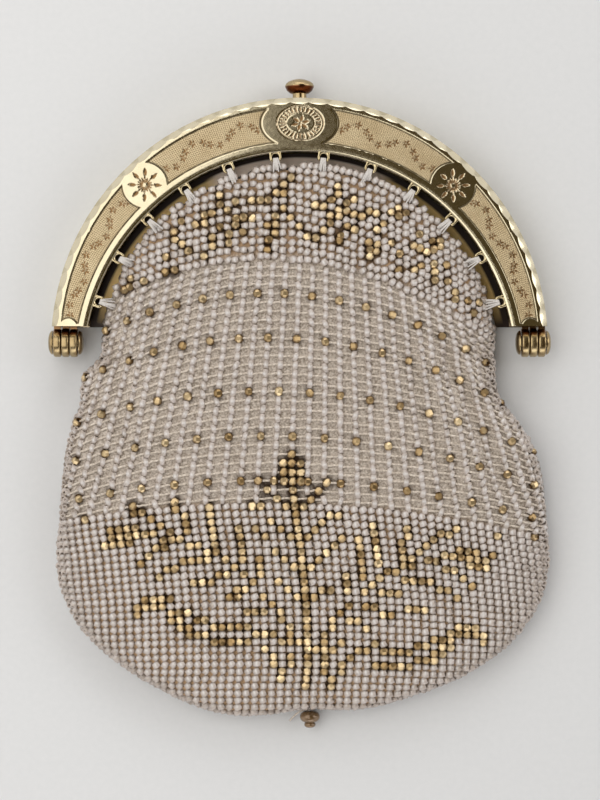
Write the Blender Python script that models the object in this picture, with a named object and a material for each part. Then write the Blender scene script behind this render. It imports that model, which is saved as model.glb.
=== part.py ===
"""Beaded flapper purse, lying on its back.

A half-round brass frame of two hinged jaws holds a hollow knitted bag with a drop bead at its lower
edge. X runs to the right, Y towards the push button and Z up from the surface it lies on. The pieces
are placed round the centre of the frame's outer circle, and an empty moves them so that the origin
lies under the middle of the whole purse.
"""

import math

import bmesh
import bpy
from mathutils import Matrix, Vector

# Clearances
CLEARANCE = 0.0003

# Frame
FRAME_RADIUS = 0.045
FRAME_THICKNESS = 0.008
BAND_TOP = 0.0098
BAND_END = 0.0066
PLATE = 0.001
RIM_WALL = 0.001
BEVEL_HEIGHT = 0.0009
BEVEL_WIDTH = 0.0011
SCALLOP_PITCH = 0.00344
SCALLOP_DEPTH = 0.00036
SCALLOP_STEPS = 3
INNER_CHAMFER = 0.00035
END_WALL = 0.001
END_WALL_SETBACK = 0.0002

# Lugs that the bag is sewn to
LUG_COUNT = 12
LUG_STEP = math.radians(13.1)
LUG_RADIUS = 0.00125
LUG_HOLE = 0.0006
LUG_REACH = 0.0008
LUG_OPENING = math.radians(100)
LUG_THICKNESS = 0.0006
LUG_SETBACK = 0.0003

# Hinges
HINGE_Y = 0.0007
KNUCKLE_RADIUS = 0.0026
KNUCKLE_LENGTH = 0.0012
KNUCKLE_COUNT = 3
PIN_RADIUS = 0.001
PIN_HEAD_RADIUS = 0.0022
PIN_HEAD_LENGTH = 0.0008
PIN_OVERHANG = 0.0008

# Push button and its hidden catch
BUTTON_RADIUS = 0.00265
BUTTON_HEIGHT = 0.0025
BUTTON_TRAVEL = 0.001
STEM_RADIUS = 0.00125
COLLAR_RADIUS = 0.0019
COLLAR_LENGTH = 0.0008
CATCH_LENGTH = 0.0064
CATCH_WIDTH = 0.0026
CATCH_HEIGHT = 0.0022

# Bag
BAG_WALL = 0.0013
BAG_HALF_WIDTH = 0.0458
BAG_DEPTH = 0.011
BAG_SIDE = 0.0356
BAG_BOTTOM = 0.0286
SEAM_HEIGHT = 0.0032
SIDE_ROUNDNESS = 3.6
BACK_FLATNESS = 9.0
BOTTOM_ROUNDNESS = 2.1
BAG_COLUMNS = 34
BAG_ROWS = 20
LINING_ROWS = 8

# The bag's side outline: drop below the hinge as a share of BAG_SIDE, and how far the left and the
# right side stand out as shares of BAG_HALF_WIDTH.
OUTLINE_COLUMNS = ("drop", "left", "right")
OUTLINE = (
    (0.00, 0.798, 0.782),
    (0.06, 0.853, 0.784),
    (0.13, 0.872, 0.786),
    (0.23, 0.878, 0.818),
    (0.31, 0.902, 0.870),
    (0.45, 0.931, 0.936),
    (0.60, 0.945, 0.968),
    (0.80, 0.957, 0.985),
    (1.00, 0.974, 1.000),
)

# The bag's front, from the frame to its lower edge: how far down as a share of the column's length,
# and the height of the front as a share of BAG_DEPTH.
HEIGHT_COLUMNS = ("down", "height")
HEIGHTS = (
    (0.00, 0.690),
    (0.10, 0.800),
    (0.25, 0.930),
    (0.45, 1.000),
    (0.70, 0.960),
    (1.00, 0.800),
)

# Lobes of the lower edge: where they lie across and how wide they are, as shares of BAG_HALF_WIDTH,
# and how far they hang as a share of BAG_BOTTOM.
LOBE_COLUMNS = ("across", "width", "hang")
LOBES = (
    (-0.33, 0.26, 0.062),
    (0.04, 0.14, -0.018),
    (0.25, 0.15, 0.016),
)

# Folds of the front. They start and end at places given across, as shares of BAG_HALF_WIDTH, and
# below the frame's centre, as shares of BAG_SIDE. Width and depth are shares of BAG_DEPTH, and a
# negative depth is a ridge.
FOLD_COLUMNS = ("x0", "y0", "x1", "y1", "width", "depth")
FOLDS = (
    (0.43, 0.04, 0.60, 0.72, 0.22, 0.085),
    (0.52, 0.05, 0.72, 0.62, 0.18, -0.075),
    (0.60, 0.10, 0.80, 0.66, 0.20, 0.110),
    (0.70, 0.16, 0.92, 0.52, 0.17, -0.080),
    (0.74, 0.02, 0.84, 0.34, 0.16, 0.080),
    (-0.74, -0.36, -0.70, 0.42, 0.20, 0.070),
    (-0.64, -0.30, -0.62, 0.50, 0.18, -0.045),
    (-0.84, 0.10, -0.78, 0.70, 0.20, 0.060),
    (-0.52, -0.62, -0.50, 0.10, 0.20, 0.040),
    (0.24, -0.42, 0.30, 0.44, 0.24, 0.040),
    (-0.12, -0.50, -0.10, 0.30, 0.26, -0.030),
    (-0.30, 1.05, -0.52, 1.55, 0.26, 0.055),
    (0.36, 1.00, 0.62, 1.36, 0.24, 0.050),
)

# Drop bead
DROP_RADIUS = 0.00185
DROP_LENGTH = 0.0023
TIP_RADIUS = 0.00105
TIP_LENGTH = 0.0012
TIP_SINK = 0.0003
DROP_X = 0.0019

# What follows from the sizes
MID_Z = FRAME_THICKNESS / 2
JAW_DEPTH = (FRAME_THICKNESS - CLEARANCE) / 2
JAW_END_Y = HINGE_Y + KNUCKLE_RADIUS + CLEARANCE
BORE_RADIUS = PIN_RADIUS + CLEARANCE
MOUTH_TOP_Y = FRAME_RADIUS - BAND_TOP
MOUTH_END_X = math.sqrt(FRAME_RADIUS**2 - JAW_END_Y**2) - BAND_END
MOUTH_Y = (MOUTH_TOP_Y**2 - MOUTH_END_X**2 - JAW_END_Y**2) / (2 * (MOUTH_TOP_Y - JAW_END_Y))
MOUTH_RADIUS = MOUTH_TOP_Y - MOUTH_Y
BAG_MOUTH_RADIUS = MOUTH_RADIUS - LUG_REACH - LUG_RADIUS - CLEARANCE
BAG_CORNER_Y = HINGE_Y - KNUCKLE_RADIUS - 1.6 * CLEARANCE
BUTTON_UNDERSIDE_Y = FRAME_RADIUS + BUTTON_TRAVEL + CLEARANCE
BUTTON_TOP_Y = BUTTON_UNDERSIDE_Y + BUTTON_HEIGHT

BRASS = ("gilt brass", (0.62, 0.47, 0.20, 1.0), 0.28, 1.0)
BRONZE = ("bronze glass", (0.20, 0.12, 0.05, 1.0), 0.25, 0.0)
BEADING = ("lilac white beading", (0.74, 0.70, 0.72, 1.0), 0.35, 0.0)


def material(name, colour, roughness, metallic):
    """A Principled material, made once and then shared."""
    made = bpy.data.materials.get(name)
    if made:
        return made
    made = bpy.data.materials.new(name)
    made.use_nodes = True
    shader = made.node_tree.nodes["Principled BSDF"]
    shader.inputs["Base Color"].default_value = colour
    shader.inputs["Roughness"].default_value = roughness
    shader.inputs["Metallic"].default_value = metallic
    return made


def piece(name, bm, look, parent):
    """Turns a bmesh into a named object under the parent."""
    bmesh.ops.recalc_face_normals(bm, faces=bm.faces)
    mesh = bpy.data.meshes.new(name)
    bm.to_mesh(mesh)
    bm.free()
    mesh.shade_smooth()
    mesh.set_sharp_from_angle(angle=math.radians(35))
    mesh.materials.append(material(*look))
    made = bpy.data.objects.new(name, mesh)
    bpy.context.scene.collection.objects.link(made)
    made.parent = parent
    return made


def helper(name, bm, parent):
    """A hidden shape that a Boolean adds or takes away."""
    made = piece(name, bm, BRASS, parent)
    made.hide_render = True
    made.display_type = "WIRE"
    return made


def combine(target, other, operation):
    """Adds the helper to the target, or cuts it out."""
    change = target.modifiers.new(other.name, "BOOLEAN")
    change.operation = operation
    change.object = other


def prism(bm, outline, place, depth):
    """Extrudes a flat outline by depth along the third axis of place."""
    low = [bm.verts.new(place @ Vector((u, v, 0))) for u, v in outline]
    high = [bm.verts.new(place @ Vector((u, v, depth))) for u, v in outline]
    bm.faces.new(low)
    bm.faces.new(high)
    for here in range(len(outline)):
        after = (here + 1) % len(outline)
        bm.faces.new((low[here], low[after], high[after], high[here]))


def loft(bm, rings, caps):
    """Joins closed rings of points with quads, and closes both ends if caps is set."""
    rows = [[bm.verts.new(point) for point in ring] for ring in rings]
    for row, after in zip(rows, rows[1:]):
        for here in range(len(row)):
            turn = (here + 1) % len(row)
            bm.faces.new((row[here], row[turn], after[turn], after[here]))
    if caps:
        bm.faces.new(rows[0])
        bm.faces.new(rows[-1])
    return rows


def lathe(bm, profile, place, sides):
    """Turns a profile of (distance along the axis, radius) about the first axis of place."""
    points = [bm.verts.new((along, 0, radius)) for along, radius in profile]
    edges = [bm.edges.new(pair) for pair in zip(points, points[1:])]
    bmesh.ops.spin(
        bm,
        geom=points + edges,
        cent=(0, 0, 0),
        axis=(1, 0, 0),
        angle=math.tau,
        steps=sides,
        use_merge=True,
    )
    bmesh.ops.remove_doubles(bm, verts=bm.verts, dist=1e-7)
    bmesh.ops.transform(bm, matrix=place, verts=bm.verts)


def arc(radius, start, end, steps):
    """Points of an arc about the origin, both ends included."""
    turns = [start + (end - start) * step / steps for step in range(steps + 1)]
    return [(radius * math.cos(turn), radius * math.sin(turn)) for turn in turns]


def read_row(columns, row):
    return dict(zip(columns, row))


def smooth_value(columns, rows, key, value, at):
    """The table's value at a place, on a smooth curve through its rows."""
    places = [read_row(columns, row)[key] for row in rows]
    values = [read_row(columns, row)[value] for row in rows]
    at = min(max(at, places[0]), places[-1])
    below = max(index for index, place in enumerate(places) if place <= at)
    below = min(below, len(places) - 2)
    span = places[below + 1] - places[below]
    share = (at - places[below]) / span

    def slope(index):
        first = max(index - 1, 0)
        last = min(index + 1, len(places) - 1)
        return (values[last] - values[first]) / (places[last] - places[first])

    cube, square = share**3, share**2
    return (
        (2 * cube - 3 * square + 1) * values[below]
        + (cube - 2 * square + share) * span * slope(below)
        + (3 * square - 2 * cube) * values[below + 1]
        + (cube - square) * span * slope(below + 1)
    )


def band_loop(centre_y, radius_at, steps):
    """Points along the half ring that end level with the hinge, for a radius that may vary."""
    start = math.asin((JAW_END_Y - centre_y) / radius_at(0.0))
    points = []
    for step in range(steps + 1):
        share = step / steps
        turn = start + (math.pi - 2 * start) * share
        radius = radius_at(share)
        points.append((radius * math.cos(turn), centre_y + radius * math.sin(turn)))
    return points


def scallop_count():
    return round(math.pi * FRAME_RADIUS / SCALLOP_PITCH) - 2


def scalloped_radius(share):
    """The face's outer edge: hollows that meet in small points."""
    hollow = abs(math.sin(math.pi * scallop_count() * share))
    return FRAME_RADIUS - BEVEL_WIDTH - SCALLOP_DEPTH * (hollow - 0.5)


def jaw_band(side):
    """The channel of one jaw: face plate, scalloped bevel and rim wall. side is 1 in front, -1 behind."""
    steps = scallop_count() * SCALLOP_STEPS
    face = JAW_DEPTH + CLEARANCE / 2
    under = face - PLATE
    foot = CLEARANCE / 2
    loops = (
        (0.0, lambda share: FRAME_RADIUS, foot),
        (0.0, lambda share: FRAME_RADIUS, face - BEVEL_HEIGHT),
        (0.0, scalloped_radius, face),
        (MOUTH_Y, lambda share: MOUTH_RADIUS + INNER_CHAMFER, face),
        (MOUTH_Y, lambda share: MOUTH_RADIUS, face - INNER_CHAMFER),
        (MOUTH_Y, lambda share: MOUTH_RADIUS, under),
        (0.0, lambda share: FRAME_RADIUS - RIM_WALL, under),
        (0.0, lambda share: FRAME_RADIUS - RIM_WALL, foot),
    )
    lines = [
        [(x, y, MID_Z + side * height) for x, y in band_loop(centre, radius_at, steps)]
        for centre, radius_at, height in loops
    ]
    bm = bmesh.new()
    loft(bm, list(zip(*lines)), caps=True)
    return bm


def lug_outline():
    """A ring with its mouth towards the bag: two horns."""
    outer = arc(LUG_RADIUS, LUG_OPENING / 2, math.tau - LUG_OPENING / 2, 9)
    inner = arc(LUG_HOLE, math.tau - LUG_OPENING / 2, LUG_OPENING / 2, 6)
    return outer + inner


def lug_places():
    """Angles of the lugs about the mouth's centre, from the right to the left."""
    first = math.pi / 2 - LUG_STEP * (LUG_COUNT - 1) / 2
    return [first + LUG_STEP * index for index in range(LUG_COUNT)]


def frame_fittings(side):
    """The lugs and the two end walls of one jaw."""
    bm = bmesh.new()
    face = JAW_DEPTH + CLEARANCE / 2
    height = MID_Z + side * (face - LUG_SETBACK)
    for turn in lug_places():
        reach = MOUTH_RADIUS - LUG_REACH
        centre = Vector((reach * math.cos(turn), MOUTH_Y + reach * math.sin(turn), height))
        place = Matrix.Translation(centre) @ Matrix.Rotation(turn + math.pi, 4, "Z")
        prism(bm, lug_outline(), place, -side * LUG_THICKNESS)
    low = JAW_END_Y + END_WALL_SETBACK
    inner = MOUTH_END_X + BAND_END / 12
    outer = MOUTH_END_X + BAND_END - RIM_WALL / 2
    wall = ((inner, low), (outer, low), (outer, low + END_WALL), (inner, low + END_WALL))
    foot = Matrix.Translation((0, 0, MID_Z + side * CLEARANCE / 2))
    depth = side * (JAW_DEPTH - PLATE / 2)
    prism(bm, wall, foot, depth)
    prism(bm, [(-x, y) for x, y in wall], foot, depth)
    return bm


def hinge_stations():
    """Where the pin's heads and the knuckles begin and end along X, from the outside inwards."""
    at = FRAME_RADIUS + PIN_OVERHANG
    stations = []
    lengths = [PIN_HEAD_LENGTH] + [KNUCKLE_LENGTH] * KNUCKLE_COUNT + [PIN_HEAD_LENGTH]
    for length in lengths:
        stations.append((at - length, at))
        at -= length + CLEARANCE
    return stations


def knuckle_outline(side):
    """A knuckle seen along X, in (Y, Z): a round with a tongue that runs up to the end wall."""
    reach = JAW_END_Y + END_WALL_SETBACK + END_WALL / 2 - HINGE_Y
    low = CLEARANCE
    high = KNUCKLE_RADIUS * 0.8
    start = math.asin(high / KNUCKLE_RADIUS)
    end = math.tau + math.asin(low / KNUCKLE_RADIUS)
    outline = arc(KNUCKLE_RADIUS, start, end, 20)
    outline += [(reach, low), (reach, high)]
    return [(HINGE_Y + y, MID_Z + side * z) for y, z in outline]


def knuckles(side):
    """The front jaw has the outer knuckles of each hinge, and the back jaw the middle one."""
    bm = bmesh.new()
    along_x = Matrix(((0, 0, 1, 0), (1, 0, 0, 0), (0, 1, 0, 0), (0, 0, 0, 1)))
    held = hinge_stations()[1:-1]
    own = held[0::2] if side > 0 else held[1::2]
    for start, end in own:
        for hand in (1, -1):
            place = Matrix.Translation((hand * start, 0, 0)) @ along_x
            prism(bm, knuckle_outline(side), place, hand * (end - start))
    return bm


def rod(bm, centre, axis, radius, length):
    """A plain round bar along X or Y. The cone primitive stands along Z before it is turned."""
    turn = Matrix.Rotation(math.pi / 2, 4, "Y" if axis == "X" else "X")
    place = Matrix.Translation(centre) @ turn
    bmesh.ops.create_cone(
        bm, cap_ends=True, segments=16, radius1=radius, radius2=radius, depth=length, matrix=place
    )


def frame_bores():
    """The pin bores of both hinges and the hole for the button's stem."""
    bm = bmesh.new()
    length = FRAME_RADIUS - MOUTH_END_X + 2 * PIN_OVERHANG
    middle = (FRAME_RADIUS + MOUTH_END_X) / 2
    for hand in (1, -1):
        rod(bm, (hand * middle, HINGE_Y, MID_Z), "X", BORE_RADIUS, length)
    rim_middle = FRAME_RADIUS - RIM_WALL / 2
    rod(bm, (0, rim_middle, MID_Z), "Y", STEM_RADIUS + CLEARANCE, 3 * RIM_WALL)
    return bm


def add_jaw(name, side, parent):
    jaw = piece(name, jaw_band(side), BRASS, parent)
    combine(jaw, helper(name + "_fittings", frame_fittings(side), parent), "UNION")
    combine(jaw, helper(name + "_knuckles", knuckles(side), parent), "UNION")
    combine(jaw, helper(name + "_bores", frame_bores(), parent), "DIFFERENCE")
    return jaw


def domed_head(base, tip, radius):
    """Profile points of a head that is widest at its base and rounds off to its tip."""
    shares = (0.0, 0.3, 0.6, 0.85)
    sides = [(base + (tip - base) * share, radius * math.sqrt(1 - 0.75 * share**2)) for share in shares]
    return sides + [(tip, radius * 0.35), (tip, 0.0)]


def add_pin(name, hand, parent):
    """A hinge pin with a domed head at each end, turned about X."""
    stations = hinge_stations()
    outer_base, outer_tip = stations[0]
    inner_tip, inner_base = stations[-1]
    outer = domed_head(outer_base, outer_tip, PIN_HEAD_RADIUS)
    inner = domed_head(inner_base, inner_tip, PIN_HEAD_RADIUS)
    shaft = [(inner_base, PIN_RADIUS), (outer_base, PIN_RADIUS)]
    bm = bmesh.new()
    middle = (outer_base + inner_base) / 2
    profile = [(x - middle, radius) for x, radius in inner[::-1] + shaft + outer]
    turn = Matrix.Identity(4) if hand > 0 else Matrix.Rotation(math.pi, 4, "Z")
    lathe(bm, profile, turn, 16)
    pin = piece(name, bm, BRASS, parent)
    pin.location = (hand * middle, HINGE_Y, MID_Z)
    return pin


def add_button(parent):
    """The push button: mushroom head, stem through the rim, and the collar that keeps it in."""
    collar_top = FRAME_RADIUS - RIM_WALL - CLEARANCE
    profile = [(collar_top - COLLAR_LENGTH, 0.0)]
    profile += [(collar_top - COLLAR_LENGTH, COLLAR_RADIUS), (collar_top, COLLAR_RADIUS)]
    profile += [(collar_top, STEM_RADIUS), (BUTTON_UNDERSIDE_Y, STEM_RADIUS)]
    brim = BUTTON_HEIGHT * 0.2
    profile += [(BUTTON_UNDERSIDE_Y, BUTTON_RADIUS * 0.86), (BUTTON_UNDERSIDE_Y + brim, BUTTON_RADIUS)]
    cap_base = BUTTON_UNDERSIDE_Y + brim * 2
    for turn in (0, 18, 36, 54, 72):
        rise = (BUTTON_TOP_Y - cap_base) * math.sin(math.radians(turn))
        profile.append((cap_base + rise, BUTTON_RADIUS * math.cos(math.radians(turn))))
    profile.append((BUTTON_TOP_Y, 0.0))
    bm = bmesh.new()
    lathe(bm, profile, Matrix.Rotation(math.pi / 2, 4, "Z"), 20)
    button = piece("clasp_button", bm, BRASS, parent)
    button.location = (0, 0, MID_Z)
    return button


def add_catch(parent):
    """The hidden bar behind the button, seated on the back plate."""
    pressed = FRAME_RADIUS - RIM_WALL - 2 * CLEARANCE - COLLAR_LENGTH - BUTTON_TRAVEL
    low = pressed - CATCH_WIDTH
    half = CATCH_LENGTH / 2
    outline = ((-half, low), (half, low), (half, pressed), (-half, pressed))
    bm = bmesh.new()
    prism(bm, outline, Matrix.Translation((0, 0, PLATE + CLEARANCE)), CATCH_HEIGHT)
    return piece("clasp_catch", bm, BRASS, parent)


def side_reach(y, hand):
    """How far the bag stands out at a height, on the left for hand -1 and on the right for 1."""
    drop = (BAG_CORNER_Y - y) / BAG_SIDE
    column = "right" if hand > 0 else "left"
    reach = BAG_HALF_WIDTH * smooth_value(OUTLINE_COLUMNS, OUTLINE, "drop", column, drop)
    if drop <= 0:
        reach = min(reach, BAG_MOUTH_RADIUS)
    return reach


def lower_edge(across):
    """Y of the bag's lower edge, for a place from -1 at the left side to 1 at the right."""
    round_end = (1 - abs(across) ** BOTTOM_ROUNDNESS) ** (1 / BOTTOM_ROUNDNESS)
    hang = 0.0
    for row in LOBES:
        lobe = read_row(LOBE_COLUMNS, row)
        away = (across - lobe["across"]) / lobe["width"]
        hang += lobe["hang"] * math.exp(-away * away)
    return BAG_CORNER_Y - BAG_SIDE - BAG_BOTTOM * round_end * (1 + hang)


def upper_edge(across, mouth_reach):
    """Y of the bag's edge along the frame, on a circle inside the lugs."""
    x = mouth_reach * across
    rise = math.sqrt(max(BAG_MOUTH_RADIUS**2 - x * x, 0.0))
    return max(MOUTH_Y + rise, BAG_CORNER_Y)


def fold_depth(x, y):
    """How deep the folds press the front in at a place."""
    depth = 0.0
    for row in FOLDS:
        fold = read_row(FOLD_COLUMNS, row)
        start = Vector((fold["x0"] * BAG_HALF_WIDTH, -fold["y0"] * BAG_SIDE))
        line = Vector((fold["x1"] * BAG_HALF_WIDTH, -fold["y1"] * BAG_SIDE)) - start
        away = Vector((x, y)) - start
        along = away.dot(line) / line.length_squared
        beside = (away - line * along).length / (fold["width"] * BAG_DEPTH)
        past = max(-along, along - 1, 0) * line.length / (fold["width"] * BAG_DEPTH * 2)
        depth += fold["depth"] * BAG_DEPTH * math.exp(-beside * beside - past * past)
    return depth


def bag_point(across, down, inset, front):
    """A point of the bag's outer face, or of its inner face where inset is the wall."""
    hand = 1 if across > 0 else -1
    mouth_reach = side_reach(BAG_CORNER_Y, hand) - inset
    top = upper_edge(across, mouth_reach)
    y = top + (lower_edge(across) + inset - top) * down
    x = across * (side_reach(y, hand) - inset)
    if front:
        high = BAG_DEPTH * smooth_value(HEIGHT_COLUMNS, HEIGHTS, "down", "height", down)
        edge = (1 - abs(across) ** SIDE_ROUNDNESS) ** (1 / SIDE_ROUNDNESS)
        end = (1 - down**SIDE_ROUNDNESS) ** (1 / SIDE_ROUNDNESS)
        pressed = fold_depth(x, y) * min(1.0, 8 * down) * edge * end
        return Vector((x, y, SEAM_HEIGHT + (high - inset - SEAM_HEIGHT) * edge * end - pressed))
    edge = (1 - abs(across) ** BACK_FLATNESS) ** (1 / BACK_FLATNESS)
    end = (1 - down**BACK_FLATNESS) ** (1 / BACK_FLATNESS)
    return Vector((x, y, SEAM_HEIGHT - (SEAM_HEIGHT - inset) * edge * end))


def bag_rings(rows, inset):
    """Rings round the bag from its mouth down to its lower edge, front first, then back."""
    places = [math.sin(math.pi / 2 * (2 * step / BAG_COLUMNS - 1)) for step in range(BAG_COLUMNS + 1)]
    rings = []
    for row in range(rows + 1):
        down = math.sin(math.pi / 2 * row / rows) ** 1.15
        front = [bag_point(across, down, inset, True) for across in places]
        back = [bag_point(across, down, inset, False) for across in places[-2:0:-1]]
        rings.append(front + back)
    return rings


def add_bag(parent):
    """The hollow bag: an outer and an inner face that meet round the mouth."""
    bm = bmesh.new()
    outside = loft(bm, bag_rings(BAG_ROWS, 0.0), caps=False)
    inside = loft(bm, bag_rings(LINING_ROWS, BAG_WALL), caps=False)
    for here in range(len(outside[0])):
        turn = (here + 1) % len(outside[0])
        bm.faces.new((outside[0][here], outside[0][turn], inside[0][turn], inside[0][here]))
    bmesh.ops.remove_doubles(bm, verts=bm.verts, dist=1e-6)
    bmesh.ops.triangulate(bm, faces=bm.faces)
    return piece("beaded_bag", bm, BEADING, parent)


def add_drop(parent):
    """The bronze bead at the lower edge with its tip bead, turned about Y."""
    bm = bmesh.new()
    profile = [(0.0, 0.0)]
    for turn in (20, 45, 70, 90, 110, 135):
        along = DROP_LENGTH / 2 * (1 - math.cos(math.radians(turn)))
        profile.append((along, DROP_RADIUS * math.sin(math.radians(turn)) ** 0.7))
    tip_start = DROP_LENGTH - TIP_SINK
    for turn in (40, 65, 90, 120, 150):
        along = tip_start + TIP_LENGTH / 2 * (1 - math.cos(math.radians(turn)))
        profile.append((along, TIP_RADIUS * math.sin(math.radians(turn)) ** 0.7))
    profile.append((tip_start + TIP_LENGTH, 0.0))
    lathe(bm, profile, Matrix.Rotation(-math.pi / 2, 4, "Z"), 16)
    drop = piece("drop_bead", bm, BRONZE, parent)
    drop.location = (DROP_X, drop_top_y(), DROP_RADIUS)
    return drop


def drop_top_y():
    return lower_edge(DROP_X / BAG_HALF_WIDTH) - CLEARANCE


def purse_middle_y():
    """Halfway between the top of the button and the tip of the drop bead."""
    tip = drop_top_y() - DROP_LENGTH + TIP_SINK - TIP_LENGTH
    return (BUTTON_TOP_Y + tip) / 2


def main():
    for old in list(bpy.data.objects):
        bpy.data.objects.remove(old)
    purse = bpy.data.objects.new("purse", None)
    bpy.context.scene.collection.objects.link(purse)
    purse.location = (0, -purse_middle_y(), 0)
    add_jaw("front_frame", 1, purse)
    add_jaw("back_frame", -1, purse)
    add_pin("hinge_pin_left", -1, purse)
    add_pin("hinge_pin_right", 1, purse)
    add_button(purse)
    add_catch(purse)
    add_bag(purse)
    add_drop(purse)


main()
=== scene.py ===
# %% [markdown]
# # Dressing a beaded flapper purse
# The CAD model gives this purse its true solids: two hinged brass jaws, a push button and a hollow
# bag. What it leaves out is what makes the purse: seed beads on knitted thread, and the engraving.
# Every shape below is worked out in millimetres about the centre of the frame's outer circle, and
# one function moves it into the shared frame. So a number here is one that a ruler would give.

# %% Load the solids
import math

import bpy
import numpy as np
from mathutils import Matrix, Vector


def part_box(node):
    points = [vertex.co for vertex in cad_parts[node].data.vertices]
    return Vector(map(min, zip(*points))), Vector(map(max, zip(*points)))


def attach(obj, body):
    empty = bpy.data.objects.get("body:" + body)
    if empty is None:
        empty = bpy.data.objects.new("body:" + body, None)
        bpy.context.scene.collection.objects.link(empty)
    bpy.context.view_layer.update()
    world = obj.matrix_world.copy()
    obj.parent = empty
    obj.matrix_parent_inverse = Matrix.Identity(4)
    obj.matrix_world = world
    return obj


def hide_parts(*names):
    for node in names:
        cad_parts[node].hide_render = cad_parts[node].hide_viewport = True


MM = 0.001
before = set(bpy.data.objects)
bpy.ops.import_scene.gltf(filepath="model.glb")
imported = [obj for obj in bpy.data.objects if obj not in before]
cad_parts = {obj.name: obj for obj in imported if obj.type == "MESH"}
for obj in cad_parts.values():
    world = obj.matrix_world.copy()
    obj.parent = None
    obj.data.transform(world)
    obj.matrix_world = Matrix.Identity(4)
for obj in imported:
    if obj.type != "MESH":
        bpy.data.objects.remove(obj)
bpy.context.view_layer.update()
button_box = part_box("clasp_button")
FRAME_RADIUS = 45.0
FRAME_CENTRE_Y = (button_box[1].y / MM) - 48.8
print("frame centre lies", round(FRAME_CENTRE_Y, 3), "mm above the origin")

# %% [markdown]
# ## Camera, floor and light
# The purse lies on its back and is seen from straight above. The left half of the brass mirrors a
# broad pale light and the right half a dark room, so one large panel hangs over the left side and
# ends a little left of the middle. Smaller lights at the sides fill the bag without showing in the
# flat faces, because a flat face seen from above mirrors only what is nearly overhead.

# %% Camera
VIEW_HEIGHT = 420.0
FACE_HEIGHT = 8.0
PICTURE_HEIGHT = 144.56
SENSOR = 36.0

camera = bpy.data.cameras.new("overhead_camera")
camera.sensor_fit = "VERTICAL"
camera.sensor_height = SENSOR
camera.lens = SENSOR * VIEW_HEIGHT / PICTURE_HEIGHT
camera.clip_start = 0.01
overhead = bpy.data.objects.new("overhead_camera", camera)
PICTURE_CENTRE = (0.09, -9.76)
camera_place = (PICTURE_CENTRE[0], FRAME_CENTRE_Y + PICTURE_CENTRE[1], FACE_HEIGHT + VIEW_HEIGHT)
overhead.location = Vector(camera_place) * MM
bpy.context.scene.collection.objects.link(overhead)
bpy.context.scene.camera = overhead
print("lens", round(camera.lens, 1), "mm")


# %% Lights
def add_panel(name, centre, target, width, height, power, colour):
    """A rectangular light at centre, turned to face target. Places are in millimetres."""
    light = bpy.data.lights.new(name, "AREA")
    light.shape = "RECTANGLE"
    light.size = width * MM
    light.size_y = height * MM
    light.energy = power
    light.color = colour
    lamp = bpy.data.objects.new(name, light)
    lamp.location = Vector(centre) * MM
    aim = (Vector(target) - Vector(centre)).to_track_quat("-Z", "Y")
    lamp.rotation_euler = aim.to_euler()
    bpy.context.scene.collection.objects.link(lamp)


add_panel("left_overhead_panel", (-330, 60, 460), (-330, 60, 0), 610, 700, 2.25, (1.0, 0.985, 0.96))
add_panel("right_window", (520, 160, 330), (0, 0, 0), 300, 460, 0.7, (1.0, 0.99, 0.97))
add_panel("far_window", (40, 560, 300), (0, 0, 0), 560, 260, 0.8, (1.0, 0.99, 0.98))
add_panel("near_fill", (60, -560, 260), (0, 0, 0), 500, 240, 0.5, (0.98, 0.98, 1.0))

# The room is pale near the horizon and dark brown overhead, with a soft change between them, so
# edges shine and the flat right half of the frame doesn't.
world = bpy.data.worlds.new("studio")
world.use_nodes = True
room = world.node_tree
direction = room.nodes.new("ShaderNodeTexCoord")
upward = room.nodes.new("ShaderNodeSeparateXYZ")
fade = room.nodes.new("ShaderNodeMapRange")
fade.interpolation_type = "SMOOTHSTEP"
fade.inputs["From Min"].default_value = 0.35
fade.inputs["From Max"].default_value = 0.8
walls = room.nodes.new("ShaderNodeMix")
walls.data_type = "RGBA"
walls.inputs[6].default_value = (1.0, 1.0, 1.03, 1.0)
walls.inputs[7].default_value = (0.075, 0.055, 0.022, 1.0)
room.links.new(direction.outputs["Generated"], upward.inputs[0])
room.links.new(upward.outputs["Z"], fade.inputs["Value"])
room.links.new(fade.outputs[0], walls.inputs[0])
room.links.new(walls.outputs[2], room.nodes["Background"].inputs["Color"])
bpy.context.scene.world = world
bpy.context.scene.view_settings.view_transform = "Standard"
print("lights and studio are set")

# %% [markdown]
# ## Materials as sums
# A material is a graph of nodes. Writing it as a sum keeps it readable: one class wraps a socket so
# that Python's own operators add the Math nodes, and one method adds any other node.


# %% Socket sums
class Signal:
    """A socket's value. An operator on it adds a Math node and gives that node's value."""

    def __init__(self, finish, socket):
        self.finish = finish
        self.socket = socket

    def maths(self, operation, first, second):
        sockets = {0: first, 1: second}
        return self.finish.node("Math", {"operation": operation}, sockets)

    def __add__(self, other):
        return self.maths("ADD", self, other)

    def __radd__(self, other):
        return self.maths("ADD", other, self)

    def __sub__(self, other):
        return self.maths("SUBTRACT", self, other)

    def __rsub__(self, other):
        return self.maths("SUBTRACT", other, self)

    def __mul__(self, other):
        return self.maths("MULTIPLY", self, other)

    def __rmul__(self, other):
        return self.maths("MULTIPLY", other, self)

    def sine(self):
        return self.finish.node("Math", {"operation": "SINE"}, {0: self})

    def limited(self):
        """The value, held between 0 and 1."""
        return self.finish.node("Math", {"operation": "ADD", "use_clamp": True}, {0: self, 1: 0.0})


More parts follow.
